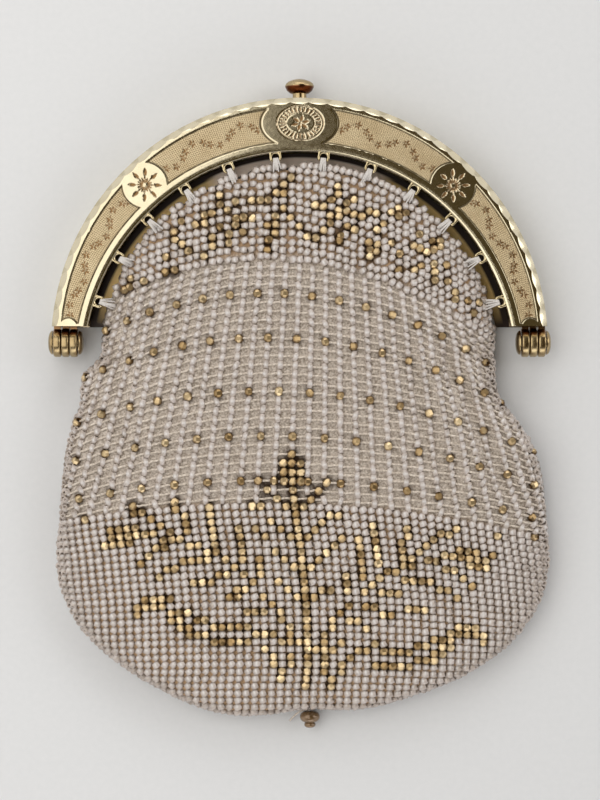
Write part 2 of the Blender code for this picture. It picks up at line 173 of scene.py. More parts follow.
class Finish:
    """A material under construction round its Principled shader."""

    def __init__(self, name, **constants):
        self.material = bpy.data.materials.new(name)
        self.material.use_nodes = True
        self.tree = self.material.node_tree
        self.shader = self.tree.nodes["Principled BSDF"]
        for key, value in constants.items():
            self.shader.inputs[key.replace("_", " ").title()].default_value = value

    def feed(self, socket, value):
        """Links a signal to the socket, or sets the socket's own value."""
        if isinstance(value, Signal):
            self.tree.links.new(value.socket, socket)
        else:
            socket.default_value = value

    def node(self, kind, settings=None, sockets=None, output=0):
        """Adds a node, makes its settings, then gives its sockets their values or links."""
        made = self.tree.nodes.new("ShaderNode" + kind)
        for key, value in (settings or {}).items():
            setattr(made, key, value)
        for key, value in (sockets or {}).items():
            self.feed(made.inputs[key], value)
        return Signal(self, made.outputs[output])

    def place(self):
        return self.node("TexCoord", output="Object")

    def layer(self, name, output="Fac"):
        """The value that the mesh keeps under this name."""
        return self.node("Attribute", {"attribute_name": name}, output=output)

    def noise(self, scale, detail=3.0, where=None):
        """Soft random values from 0 to 1. The scale is in waves to a metre."""
        sockets = {"Vector": where or self.place(), "Scale": scale, "Detail": detail}
        return self.node("TexNoise", {}, sockets)

    def mix(self, share, first, second):
        """The first colour where share is 0 and the second where it is 1."""
        sockets = {0: share, 6: first, 7: second}
        return self.node("Mix", {"data_type": "RGBA"}, sockets, output=2)

    def bump(self, height, distance, strength=1.0):
        """Feeds the normal from a height of 0 to 1 that stands for distance in millimetres."""
        sockets = {"Height": height, "Distance": distance * MM, "Strength": strength}
        self.feed(self.shader.inputs["Normal"], self.node("Bump", {}, sockets))

    def set(self, name, value):
        self.feed(self.shader.inputs[name], value)


print("socket sums ready")

# %% [markdown]
# ## From arrays to meshes
# A surface here is a table of points with quads between its rows. Numpy works out all points at
# once, and foreach_set hands them over without a loop.


# %% Mesh builders
def grid_quads(rows, columns, wrap_columns=False, wrap_rows=False):
    """Corner numbers of the quads between neighbours of a grid that is stored row by row."""
    index = np.arange(rows * columns).reshape(rows, columns)
    if wrap_columns:
        index = np.hstack([index, index[:, :1]])
    if wrap_rows:
        index = np.vstack([index, index[:1]])
    corners = (index[:-1, :-1], index[:-1, 1:], index[1:, 1:], index[1:, :-1])
    return np.stack(corners, axis=-1).reshape(-1, 4)


def end_caps(rows, columns):
    """Faces on the first and the last row of a grid whose columns wrap round."""
    turn = np.arange(columns)
    return np.stack([turn[::-1], turn + (rows - 1) * columns])


def side_caps(rows, columns):
    """Faces on the first and the last column of a grid whose rows wrap round."""
    row = np.arange(rows)
    return np.stack([row * columns, (row[::-1] + 1) * columns - 1])


def spun(along, radius, sides):
    """A profile turned about X, as a table of (side, point of the profile, xyz)."""
    angle = np.linspace(0, 2 * np.pi, sides, endpoint=False)[:, None]
    return np.stack(np.broadcast_arrays(along, radius * np.cos(angle), radius * np.sin(angle)), axis=-1)


def add_piece(name, points, faces, look, body="purse", smooth=True, layers=None, uv=None, crease=None):
    """Makes an object from points in millimetres about the frame's centre, riding on a body. Faces
    are tables of corner numbers, one table to each number of corners."""
    points = np.asarray(points, float).reshape(-1, 3) + (0.0, FRAME_CENTRE_Y, 0.0)
    tables = faces if isinstance(faces, list) else [faces]
    corners = np.concatenate([table.ravel() for table in tables]).astype(np.int32)
    sizes = np.concatenate([np.full(len(table), table.shape[1]) for table in tables])
    starts = np.concatenate([[0], np.cumsum(sizes)[:-1]]).astype(np.int32)
    mesh = bpy.data.meshes.new(name)
    mesh.vertices.add(len(points))
    mesh.vertices.foreach_set("co", (points * MM).astype(np.float32).ravel())
    mesh.loops.add(len(corners))
    mesh.loops.foreach_set("vertex_index", corners)
    mesh.polygons.add(len(sizes))
    mesh.polygons.foreach_set("loop_start", starts)
    mesh.polygons.foreach_set("use_smooth", np.full(len(sizes), smooth))
    mesh.update(calc_edges=True)
    for key, values in (layers or {}).items():
        layer = mesh.attributes.new(key, "FLOAT", "POINT")
        layer.data.foreach_set("value", np.asarray(values, np.float32).ravel())
    if uv is not None:
        layer = mesh.uv_layers.new(name="face_map")
        layer.data.foreach_set("uv", np.asarray(uv, np.float32).reshape(-1, 2)[corners].ravel())
    mesh.validate()
    if crease:
        mesh.set_sharp_from_angle(angle=math.radians(crease))
    mesh.materials.append(look)
    made = bpy.data.objects.new(name, mesh)
    bpy.context.scene.collection.objects.link(made)
    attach(made, body)
    return made


def triangle_count(made):
    """A face makes two triangles fewer than it has corners."""
    mesh = made.data
    return len(mesh.loops) - 2 * len(mesh.polygons)


def face_out(points, faces):
    """Turns all faces round where the shape is inside out, which its signed volume tells."""
    corners = points[faces[0]]
    volume = np.einsum("ij,ij->i", corners[:, 0], np.cross(corners[:, 1], corners[:, 2])).sum()
    volume += np.einsum("ij,ij->i", corners[:, 0], np.cross(corners[:, 2], corners[:, 3])).sum()
    return [face if volume > 0 else face[:, ::-1] for face in faces]


def tubes(paths, outs, radius, sides=5):
    """Tubes along paths, a table of (tube, step, xyz). A ring of points between the outward direction
    and the one beside it stands at every step, and a cap closes each end."""
    beside = np.cross(np.gradient(paths, axis=1), outs)
    beside /= np.linalg.norm(beside, axis=-1, keepdims=True)
    turn = np.linspace(0, 2 * np.pi, sides, endpoint=False)[:, None]
    section = np.cos(turn) * outs[..., None, :] + np.sin(turn) * beside[..., None, :]
    points = (paths[..., None, :] + radius * section).reshape(-1, 3)
    count, steps = paths.shape[:2]
    offsets = np.arange(count)[:, None, None] * steps * sides
    quads = grid_quads(steps, sides, wrap_columns=True) + offsets
    caps = end_caps(steps, sides) + offsets
    return points, face_out(points, [quads.reshape(-1, 4), caps.reshape(-1, sides)])


print("mesh builders ready")

# %% [markdown]
# ## Floor
# The purse lies on a pale matt board. One large quad is enough, with faint specks in its colour, and
# it counts as stage and not as part of the purse.

# %% Floor
floor_look = Finish("pale_board", roughness=0.9)
speckle = floor_look.noise(900.0, 4.0)
floor_look.set("Base Color", floor_look.mix(speckle, (0.70, 0.71, 0.715, 1), (0.75, 0.755, 0.76, 1)))
floor_half = 1500.0
floor_mesh = bpy.data.meshes.new("floor")
floor_mesh.from_pydata(
    [(x * floor_half * MM, y * floor_half * MM, 0) for x, y in ((-1, -1), (1, -1), (1, 1), (-1, 1))],
    [],
    [(0, 1, 2, 3)],
)
floor_mesh.materials.append(floor_look.material)
floor = bpy.data.objects.new("floor", floor_mesh)
bpy.context.scene.collection.objects.link(floor)
print("floor laid")

# %% [markdown]
# ## The bag's form
# The bag is a flattened pouch. Its front is a height over the plane: it rises from the seam at the
# sides, keeps level across the middle and rolls down at the lower edge, and gathers press folds
# into it. The formula is the same as the solid's, so the beads lie just where the solid's face is.

# %% Outline and heights
BAG_HALF_WIDTH = 45.8
BAG_DEPTH = 11.0
BAG_SIDE = 35.6
BAG_BOTTOM = 28.6
BAG_CORNER_Y = -2.38
SEAM_HEIGHT = 3.2
SIDE_ROUNDNESS = 3.6
BACK_FLATNESS = 9.0
BOTTOM_ROUNDNESS = 2.1
MOUTH_Y = -3.7567
MOUTH_RADIUS = 38.9567
BAG_MOUTH_RADIUS = 36.6067

# How far the sides stand out, at drops below the hinge given as shares of BAG_SIDE.
DROPS = (0.0, 0.06, 0.13, 0.23, 0.31, 0.45, 0.60, 0.80, 1.0)
LEFT_SIDE = (0.798, 0.853, 0.872, 0.878, 0.902, 0.931, 0.945, 0.957, 0.974)
RIGHT_SIDE = (0.782, 0.784, 0.786, 0.818, 0.870, 0.936, 0.968, 0.985, 1.0)
# The height of the front, at shares of the way down from the frame to the lower edge.
DOWNS = (0.0, 0.10, 0.25, 0.45, 0.70, 1.0)
HEIGHTS = (0.69, 0.80, 0.93, 1.0, 0.96, 0.80)
# Lobes of the lower edge as (across, width, hang).
LOBES = ((-0.33, 0.26, 0.062), (0.04, 0.14, -0.018), (0.25, 0.15, 0.016))
# Folds as (x0, y0, x1, y1, width, depth), where a negative depth is a ridge.
FOLDS = (
    (0.43, 0.04, 0.60, 0.72, 0.22, 0.085),
    (0.52, 0.05, 0.72, 0.62, 0.18, -0.075),
    (0.60, 0.10, 0.80, 0.66, 0.20, 0.110),
    (0.70, 0.16, 0.92, 0.52, 0.17, -0.080),
    (0.74, 0.02, 0.84, 0.34, 0.16, 0.080),
    (-0.74, -0.36, -0.70, 0.42, 0.20, 0.070),
    (-0.64, -0.30, -0.62, 0.50, 0.18, -0.045),
    (-0.84, 0.10, -0.78, 0.70, 0.20, 0.060),
    (-0.52, -0.62, -0.50, 0.10, 0.20, 0.040),
    (0.24, -0.42, 0.30, 0.44, 0.24, 0.040),
    (-0.12, -0.50, -0.10, 0.30, 0.26, -0.030),
    (-0.30, 1.05, -0.52, 1.55, 0.26, 0.055),
    (0.36, 1.00, 0.62, 1.36, 0.24, 0.050),
)
print(len(FOLDS), "folds and", len(LOBES), "lobes")


# %% Outline and folds as formulas
def smooth_through(places, values, at):
    """Cubic pieces through the values, each with slopes taken from the neighbours on both sides."""
    places, values = np.array(places), np.array(values)
    at = np.clip(at, places[0], places[-1])
    below = np.clip(np.searchsorted(places, at, side="right") - 1, 0, len(places) - 2)
    span = places[below + 1] - places[below]
    share = (at - places[below]) / span
    first = np.maximum(np.arange(len(places)) - 1, 0)
    last = np.minimum(np.arange(len(places)) + 1, len(places) - 1)
    slope = (values[last] - values[first]) / (places[last] - places[first])
    cube, square = share**3, share**2
    return (
        (2 * cube - 3 * square + 1) * values[below]
        + (cube - 2 * square + share) * span * slope[below]
        + (3 * square - 2 * cube) * values[below + 1]
        + (cube - square) * span * slope[below + 1]
    )


def side_reach(y, right):
    """Half width at y: the side's share of the half width, held inside the frame above the corner."""
    drop = (BAG_CORNER_Y - y) / BAG_SIDE
    left_reach = smooth_through(DROPS, LEFT_SIDE, drop)
    right_reach = smooth_through(DROPS, RIGHT_SIDE, drop)
    reach = BAG_HALF_WIDTH * np.where(right, right_reach, left_reach)
    return np.where(drop <= 0, np.minimum(reach, BAG_MOUTH_RADIUS), reach)


def lower_edge(across):
    """A rounded edge, flattened as a superellipse, that hangs lower at its lobes."""
    across = np.clip(across, -1, 1)
    round_end = (1 - np.abs(across) ** BOTTOM_ROUNDNESS) ** (1 / BOTTOM_ROUNDNESS)
    hang = sum(depth * np.exp(-(((across - at) / width) ** 2)) for at, width, depth in LOBES)
    return BAG_CORNER_Y - BAG_SIDE - BAG_BOTTOM * round_end * (1 + hang)


def upper_edge(across, reach):
    """A circle about the mouth's centre, cut level with the hinges."""
    rise = np.sqrt(np.maximum(BAG_MOUTH_RADIUS**2 - (reach * across) ** 2, 0.0))
    return np.maximum(MOUTH_Y + rise, BAG_CORNER_Y)


def fold_depth(x, y):
    """The sum of soft grooves, each a bell across its own line that fades past its ends."""
    depth = 0.0
    for x0, y0, x1, y1, width, deep in FOLDS:
        start_x, start_y = x0 * BAG_HALF_WIDTH, -y0 * BAG_SIDE
        line_x, line_y = x1 * BAG_HALF_WIDTH - start_x, -y1 * BAG_SIDE - start_y
        square = line_x**2 + line_y**2
        along = ((x - start_x) * line_x + (y - start_y) * line_y) / square
        beside = np.hypot(x - start_x - line_x * along, y - start_y - line_y * along)
        past = np.maximum(np.maximum(-along, along - 1), 0) * math.sqrt(square)
        width = width * BAG_DEPTH
        depth = depth + deep * BAG_DEPTH * np.exp(-((beside / width) ** 2) - (past / width / 2) ** 2)
    return depth


print("lower edge", round(-float(lower_edge(0.0)), 2), "mm below the frame's centre")


# %% Points of the bag
def bag_point(across, down, inset, front):
    """A point of the bag, from -1 at the left side to 1 at the right and from 0 at the frame to 1 at
    the lower edge. The height is level times a rounded edge across times a rounded end."""
    reach = side_reach(BAG_CORNER_Y, across > 0) - inset
    top = upper_edge(across, reach)
    y = top + (lower_edge(across) + inset - top) * down
    x = across * (side_reach(y, across > 0) - inset)
    power = SIDE_ROUNDNESS if front else BACK_FLATNESS
    edge = np.maximum(1 - np.abs(across) ** power, 0) ** (1 / power)
    end = np.maximum(1 - np.clip(down, 0, 1) ** power, 0) ** (1 / power)
    if front:
        high = BAG_DEPTH * smooth_through(DOWNS, HEIGHTS, down)
        pressed = fold_depth(x, y) * np.minimum(1.0, 8 * down)
        z = SEAM_HEIGHT + (high - inset - SEAM_HEIGHT - pressed) * edge * end
    else:
        z = SEAM_HEIGHT - (SEAM_HEIGHT - inset) * edge * end
    return np.stack(np.broadcast_arrays(x, y, z), axis=-1)


def bag_place(x, y):
    """Turns a place on the plane back into across and down, by undoing the two steps of bag_point."""
    right = x > 0
    across = x / side_reach(y, right)
    top = upper_edge(across, side_reach(np.full_like(y, BAG_CORNER_Y), right))
    down = (y - top) / (lower_edge(across) - top)
    return across, down


def bag_normal(across, down, front):
    """The direction out of the bag: the cross product of two short steps along the surface."""
    step = 0.002
    across = np.clip(across, -0.9985, 0.9985)
    down = np.clip(down, 0.0, 0.9975)
    toward = np.where(across > 0, -step, step)
    here = bag_point(across, down, 0.0, front)
    beside = (bag_point(across + toward, down, 0.0, front) - here) / toward[..., None]
    below = (bag_point(across, down + step, 0.0, front) - here) / step
    normal = np.cross(below, beside) if front else np.cross(beside, below)
    return normal / np.linalg.norm(normal, axis=-1, keepdims=True)


middle = bag_point(np.array([0.0]), np.array([0.5]), 0.0, True)[0]
print("middle of the front", np.round(middle, 2))

# %% [markdown]
# ## The knitted cloth
# Under the beads lies the thread itself, knitted into a thin cloth. It shows as tan between the
# dense beads and as pale thread in the open middle of the bag. One closed shell carries it: an outer
# face a little under the beads and an inner face a thread's thickness further in.

# %% Cloth shell
CLOTH_INSET = 0.9
CLOTH_THICKNESS = 0.25


def cloth_rings(columns, rows, inset):
    """Rings from the mouth down: across runs along the front and back again along the back."""
    places = np.linspace(-1, 1, columns + 1)
    places = (places + np.sin(np.pi / 2 * places)) / 2
    downs = 0.009 + 0.991 * np.sin(np.pi / 2 * np.linspace(0, 1, rows + 1)) ** 1.1
    across, down = np.meshgrid(places, downs)
    front = bag_point(across, down, inset, True)
    back = bag_point(across[:, -2:0:-1], down[:, -2:0:-1], inset, False)
    return np.concatenate([front, back], axis=1)


print("the cloth lies", CLOTH_INSET, "mm under the bag's face")

# %% [markdown]
# ## Rows of beads
# The knitting runs in rows across the bag. Each row sags towards its ends, most near the frame and
# hardly at all at the bottom. A row is laid as a line over the front, measured along its length, and
# a bead is threaded at every step of that length, so that beads keep their spacing round the sides.

# %% Where the rows lie
PIXEL = 0.1807
PICTURE_MIDDLE = (300.0, 400.0)
ROW_APEX_X = -6.1
ROW_SPAN = 36.1
BEAD_TOP_HEIGHT = 10.0
NEARNESS = (FACE_HEIGHT + VIEW_HEIGHT - BEAD_TOP_HEIGHT) / VIEW_HEIGHT


def photo_x(pixel):
    """Place across of a bead that the photograph shows this many pixels from its left edge. Beads
    stand nearer to the camera than the frame's face, so a pixel covers a little less there."""
    return PICTURE_CENTRE[0] + (pixel - PICTURE_MIDDLE[0]) * PIXEL * NEARNESS


def photo_y(pixel):
    """The same up the picture, where pixels are counted downwards."""
    return PICTURE_CENTRE[1] + (PICTURE_MIDDLE[1] - pixel) * PIXEL * NEARNESS


# Rows as pixels from the top of the photograph, and how far their ends drop, as (row, drop).
CHART_ROW = 7.62
TOP_ROWS = np.arange(166.0, 262.0, 8.2)
LATTICE_ROWS = np.arange(266.0, 500.0, 8.95)
LOWER_ROWS = np.arange(506.2, 722.0, CHART_ROW)
ROW_BEND = ((160.0, 75.0), (262.0, 62.0), (390.0, 33.0), (500.0, 18.0), (600.0, 10.0), (700.0, 5.0))
LINE_SAMPLES = 6001
MOUTH_CLEAR = 0.006
ROW_END_CLEAR = 0.3


def row_bend(pixel):
    """How far a row's ends drop below its middle, in millimetres at ROW_SPAN from the middle."""
    places, bends = np.array(ROW_BEND).T
    return np.interp(pixel, places, bends) * PIXEL


class RowLine:
    """One row as a finely sampled line over the front or back, with its length from the left end."""

    def __init__(self, pixel, front):
        x = np.linspace(-BAG_HALF_WIDTH, BAG_HALF_WIDTH, LINE_SAMPLES)
        y = photo_y(pixel) - row_bend(pixel) * ((x - ROW_APEX_X) / ROW_SPAN) ** 2
        across, down = bag_place(x, y)
        inside = (np.abs(across) <= 1) & (down >= MOUTH_CLEAR) & (down <= 1)
        self.across, self.down, self.x = across[inside], down[inside], x[inside]
        self.empty = len(self.x) < 12
        if self.empty:
            return
        self.points = bag_point(self.across, self.down, 0.0, front)
        steps = np.linalg.norm(np.diff(self.points, axis=0), axis=1)
        self.length = np.concatenate([[0], np.cumsum(steps)])

    def thread(self, start_x, offsets):
        """across and down of beads at offsets along the line from the point that is over start_x."""
        start = np.interp(start_x, self.x, self.length)
        at = start + offsets
        keep = (at > ROW_END_CLEAR) & (at < self.length[-1] - ROW_END_CLEAR)
        at = at[keep]
        across = np.interp(at, self.length, self.across)
        down = np.interp(at, self.length, self.down)
        return across, down, keep


print(len(TOP_ROWS), "top rows,", len(LATTICE_ROWS), "lattice rows,", len(LOWER_ROWS), "lower rows")

# %% [markdown]
# ## The flowers
# Gold beads draw a branching plant on the lower half and three ring flowers under the frame. Such
# patterns were worked from a chart, one square to a bead. Here a stroke starts at a square and then
# walks like a finger over a number pad: 8 is up, 2 down, 4 left, 6 right, and 7, 9, 1 and 3 are the
# diagonals. Squares are counted from the stem, and rows from the top of the stem downwards.

# %% Chart of the plant
PLANT_STROKES = {
    "bud": ((0, -4, "1"), (-1, -3, "66"), (-1, -2, "66"), (-1, -1, "66")),
    "stem": ((0, 0, "22222222222222222222222222"),),
    "left shoots": ((-4, -1, "333"), (-5, 2, "6"), (-3, 4, "333"), (-5, 5, "3"), (-3, 8, "33")),
    "left low shoot": ((-3, 12, "33"),),
    "left roots": ((-3, 16, "232"), (-5, 14, "3144")),
    "left first fork": ((-5, 9, "2211424"), (-9, 9, "")),
    "left second fork": ((-7, 5, "2222114144"), (-7, 11, ""), (-13, 7, "6")),
    "left third fork": ((-10, 2, "22222242444141"),),
    "left fourth fork": ((-14, 1, "23221481"), (-16, 7, "411")),
    "left leaf": ((-16, 4, "7748"), (-22, 4, "666"), (-22, 5, "66666"), (-23, 6, "666")),
    "left plume": ((-19, 14, "666"), (-20, 15, "666"), (-20, 16, ""), (-16, 16, "66"), (-16, 17, "6")),
    "left plume's middle": ((-13, 17, "6"), (-15, 18, "6"), (-11, 18, "6666"), (-14, 19, "66")),
    "left plume's end": ((-6, 19, "6"), (-11, 20, "6666"), (-5, 21, "")),
    "foot": ((-4, 19, "3666"), (1, 21, "66"), (-4, 22, "232"), (-2, 22, "2"), (2, 19, "2")),
    "right foot": ((2, 22, "2232"), (4, 23, "2"), (4, 20, "")),
    "right shoots": ((1, 2, "999"), (1, 6, "9996"), (1, 10, "9999"), (1, 14, "96")),
    "right roots": ((5, 15, "112"), (5, 17, "63"), (7, 15, "636"), (12, 15, "66")),
    "right first fork": ((7, 6, "22222"), (5, 11, "22"), (7, 13, "999")),
    "right second fork": ((9, 4, "222223"), (9, 13, "66")),
    "right third fork": ((11, 10, "968999969"), (13, 4, "2122"), (12, 11, "666"), (16, 12, "63")),
    "right fourth fork": ((15, 8, "6966"), (17, 9, "633")),
    "right leaf": ((19, 6, "66"), (20, 7, "66"), (23, 6, ""), (20, 8, "66")),
    "right plume": ((18, 17, "6632"), (17, 18, "666"), (15, 19, "66"), (16, 20, "6"), (13, 20, "6")),
    "right plume's middle": ((15, 21, "6"), (9, 21, "666"), (13, 22, "66"), (8, 23, "6666")),
    "right plume's end": ((8, 20, ""), (4, 23, "996")),
    "side dots": ((-25, 2, ""), (-30, 3, ""), (24, 3, ""), (29, 2, "")),
}
STEPS = {"1": (-1, 1), "2": (0, 1), "3": (1, 1), "4": (-1, 0), "6": (1, 0)}
STEPS.update({"7": (-1, -1), "8": (0, -1), "9": (1, -1)})


def walk(strokes):
    """The squares that the strokes cross: each start, then the running sum of its steps."""
    squares = set()
    for column, row, path in strokes:
        squares.add((column, row))
        for key in path:
            column += STEPS[key][0]
            row += STEPS[key][1]
            squares.add((column, row))
    return squares


plant = set().union(*(walk(strokes) for strokes in PLANT_STROKES.values()))
print(len(plant), "gold beads in the plant")

# %% [markdown]
# ## Columns
# On a real bag each bead hangs under the one above, so the columns drift and spread where the
# knitting does. Straight columns would look printed. So the stem's place is read at a few heights,
# and the open lattice has a middle column and a spacing that both change steadily on the way down.

# %% Stem and columns
STEM = ((460.0, 291.5), (491.0, 293.0), (521.0, 296.5), (546.0, 300.7), (569.0, 302.7), (599.0, 306.0))
STEM += ((623.0, 307.0), (668.0, 308.0), (690.0, 305.6), (722.0, 305.0))
LOWER_PITCH = 8.5 * PIXEL
CHART_TOP = 491.0
# The open lattice at one row: its middle column and its spacing there, and their change for each
# pixel further down.
LATTICE_MARK = 297.0
LATTICE_COLUMN, COLUMN_DRIFT = 284.4, -0.056
LATTICE_SPACING, SPACING_GROWTH = 13.8, 0.0152


def stem_x(pixel):
    """Place across of the stem, on straight lines between the places in STEM."""
    places, offsets = np.array(STEM).T
    return photo_x(np.interp(pixel, places, offsets))


def lattice_x(pixel):
    """The middle column of the open lattice drifts a little left on its way down."""
    return photo_x(LATTICE_COLUMN + (pixel - LATTICE_MARK) * COLUMN_DRIFT)


def lattice_pitch(pixel):
    """Columns of the open lattice spread on their way down."""
    return (LATTICE_SPACING + (pixel - LATTICE_MARK) * SPACING_GROWTH) * PIXEL


pitches = [round(float(lattice_pitch(pixel)), 2) for pixel in LATTICE_ROWS[[0, -1]]]
print("lattice pitch", pitches[0], "to", pitches[1], "mm")


# %% [markdown]
# ## Threading
# Beads are strung on the thread in the order of the pattern before it is knitted. Here each row line
# is filled the same way: gold beads at their squares, pale ones at all others. In the lattice a few
# rows have gold dots in every second column.

# %% Thread the beads on
class BeadList:
    """Beads gathered as across, down, kind and side, to be made into meshes together."""

    def __init__(self):
        self.across, self.down, self.kind = [], [], []

    def add(self, across, down, kind):
        self.across.append(across)
        self.down.append(down)
        self.kind.append(np.full(len(across), kind))

    def arrays(self):
        return (np.concatenate(part) for part in (self.across, self.down, self.kind))


PEARL, GOLD, LATTICE, LATTICE_GOLD, TOP_PEARL = 0, 1, 2, 3, 4
DOT_ROWS = (3, 8, 14, 19, 24)
# The plant's stem starts at this row of the lattice, and its bud some rows higher.
STEM_ROW = 25
GOLD_GAP = 0.72 * LOWER_PITCH
COLUMNS = np.arange(-45, 46)
rng = np.random.default_rng(1926)


def gold_in_row(chart_row):
    """Places along the line where the chart has gold in this row."""
    columns = sorted(column for column, row in plant if row == chart_row)
    return np.array(columns, float)


def clear_of(offsets, others, gap):
    """True where an offset is further than the gap from all of the others."""
    if len(others) == 0:
        return np.ones(len(offsets), bool)
    return np.abs(offsets[:, None] - np.asarray(others)[None, :]).min(axis=1) > gap


def fill_lattice_row(beads, number, pixel, front):
    """Upright beads at the lattice's columns, but none close to a gold bead of the plant's bud."""
    line = RowLine(pixel, front)
    if line.empty:
        return
    centre = float(lattice_x(pixel))
    offsets = COLUMNS * float(lattice_pitch(pixel))
    gold = gold_in_row(number - STEM_ROW) * LOWER_PITCH if front else np.array([])
    shift = float(stem_x(pixel)) - centre
    keep = clear_of(offsets, gold + shift, GOLD_GAP)
    dotted = np.zeros(len(COLUMNS), bool)
    if number in DOT_ROWS:
        dotted = (COLUMNS % 2) == (DOT_ROWS.index(number) % 2)
    for kind, chosen in ((LATTICE, keep & ~dotted), (LATTICE_GOLD, keep & dotted)):
        across, down, _ = line.thread(centre, offsets[chosen])
        beads.add(across, down, kind)
    across, down, _ = line.thread(centre, gold + shift)
    beads.add(across, down, GOLD)


def fill_lower_row(beads, pixel, front):
    """A bead in every column, counted from the stem, gold where the chart says so."""
    line = RowLine(pixel, front)
    if line.empty:
        return
    chart_row = round((pixel - CHART_TOP) / CHART_ROW)
    marked = np.isin(COLUMNS, gold_in_row(chart_row)) & front
    for kind, chosen in ((PEARL, ~marked), (GOLD, marked)):
        across, down, _ = line.thread(float(stem_x(pixel)), COLUMNS[chosen] * LOWER_PITCH)
        beads.add(across, down, kind)


print("gold dots in lattice rows", DOT_ROWS)

# %% [markdown]
# ## Ring flowers
# Three loose rings of gold lie under the frame, where the knitting is pulled out of line by the lugs.
# They are charted by strokes too, from a middle column, and each bead of this zone is then moved a
# little at random, along its row and down.

# %% Ring flowers under the frame
TOP_PITCH = 8.0 * PIXEL
ALONG_JITTER, DOWN_JITTER = 0.12, 0.0016
HIGHEST_DOWN = 0.004
TOP_STROKES = {
    "left ring": ((-10, 3, "2"), (-9, 5, "9"), (-12, 5, "6"), (-13, 6, "6"), (-15, 5, "12"), (-15, 8, "")),
    "left ring's foot": ((-8, 6, "212"), (-7, 6, "6"), (-10, 7, "121"), (-7, 8, "")),
    "middle ring": ((-1, 1, "124144"), (-2, 5, "3336999"), (-3, 6, "2212"), (-4, 7, ""), (5, 1, "2114")),
    "right ring": ((7, 2, "111"), (6, 4, "66963"), (7, 6, "412"), (12, 2, "96"), (13, 2, ""), (10, 5, "")),
    "right ring's foot": ((9, 7, "6"), (9, 8, "6"), (9, 9, ""), (12, 6, "3"), (13, 9, ""), (16, 3, "")),
    "far right": ((19, 2, "242144"), (20, 5, ""), (18, 6, "22"), (16, 7, "1"), (20, 7, "32"), (23, 8, "3")),
    "ends": ((25, 7, ""), (-22, 10, "1"), (-22, 11, ""), (-20, 11, ""), (-17, 11, "6"), (-17, 9, "")),
    "last dot": ((-14, 9, ""),),
}
flowers = set().union(*(walk(strokes) for strokes in TOP_STROKES.values()))


def fill_top_row(beads, number, pixel, front):
    """A bead in every column, moved at random, gold where a ring flower runs."""
    line = RowLine(pixel, front)
    if line.empty:
        return
    marked = np.array([(column, number) in flowers for column in COLUMNS]) & front
    for kind, chosen in ((TOP_PEARL, ~marked), (GOLD, marked)):
        offsets = COLUMNS[chosen] * TOP_PITCH + rng.normal(0, ALONG_JITTER, chosen.sum())
        across, down, _ = line.thread(0.0, offsets)
        down = down + rng.normal(0, DOWN_JITTER, len(down))
        beads.add(across, np.clip(down, HIGHEST_DOWN, 1), kind)


def bead_rows(front):
    """Fills the rows from the frame down, and gives across, down and kind of all beads."""
    beads = BeadList()
    for number, pixel in enumerate(TOP_ROWS):
        fill_top_row(beads, number, pixel, front)
    for number, pixel in enumerate(LATTICE_ROWS):
        fill_lattice_row(beads, number, pixel, front)
    for pixel in LOWER_ROWS:
        fill_lower_row(beads, pixel, front)
    return beads.arrays()


print(len(flowers), "gold beads in the ring flowers")

# %% [markdown]
# ## A bead
# A seed bead is a short slice of glass tube with its edges melted round. Its outline is a rounded
# ring section turned about the hole. Thousands are needed, so a bead has only a few dozen faces, and
# its smooth shading does the rest. The gold ones are cut with flats, so theirs stay flat.


# %% Bead shapes
def ring_bead(length, diameter, hole, sides, section):
    """A ring turned about X: its section is an oval between the hole and the outside, and one of the
    section's points lies where the ring is widest."""
    turn = np.linspace(0, 2 * np.pi, section, endpoint=False)
    along = length / 2 * np.sin(turn)
    radius = (diameter + hole) / 4 + (diameter - hole) / 4 * np.cos(turn)
    quads = grid_quads(sides, section, wrap_columns=True, wrap_rows=True)
    return spun(along, radius, sides).reshape(-1, 3), quads[:, ::-1]


def cut_bead(length, diameter, hole, sides):
    """A ball about X with a hole and flats: a belt of wide flats between two slanted ones."""
    share = np.array((-0.9, -0.4, 0.4, 0.9))
    along = np.concatenate([share, (0.7, -0.7)]) * length / 2
    radius = np.concatenate([diameter / 2 * np.sqrt(1 - (0.94 * share) ** 2), (hole / 2, hole / 2)])
    quads = grid_quads(sides, len(along), wrap_columns=True, wrap_rows=True)
    return spun(along, radius, sides).reshape(-1, 3), quads[:, ::-1]


def scatter(shape, centres, axes, sizes):
    """Copies of the shape: each point is its centre plus the shape's point turned by three axes."""
    points, quads = shape
    placed = centres[:, None, :] + np.einsum("nkj,nij->nik", axes, points[None] * sizes[:, None, :])
    offsets = (np.arange(len(centres)) * len(points))[:, None, None]
    return placed.reshape(-1, 3), (quads[None] + offsets).reshape(-1, 4)


def bead_axes(across, down, front, tilt, lean):
    """Three axes of each bead: its hole, then its side, then out of the cloth. Tilt turns the hole
    about the outward direction, and lean tips it out of the cloth."""
    out = bag_normal(across, down, front)
    step = 0.004
    toward = np.where(across > 0, -step, step)
    beside = bag_point(np.clip(across + toward, -1, 1), down, 0.0, front)
    along = beside - bag_point(across, down, 0.0, front)
    along = along * np.sign(toward)[:, None]
    along -= out * (along * out).sum(1, keepdims=True)
    along /= np.maximum(np.linalg.norm(along, axis=1, keepdims=True), 1e-9)
    side = np.cross(out, along)
    hole = along * np.cos(tilt)[:, None] + side * np.sin(tilt)[:, None]
    hole = hole * np.cos(lean)[:, None] + out * np.sin(lean)[:, None]
    side = np.cross(out, hole)
    side /= np.linalg.norm(side, axis=1, keepdims=True)
    out = np.cross(hole, side)
    return np.stack([hole, side, out], axis=1)


print("bead shapes ready")

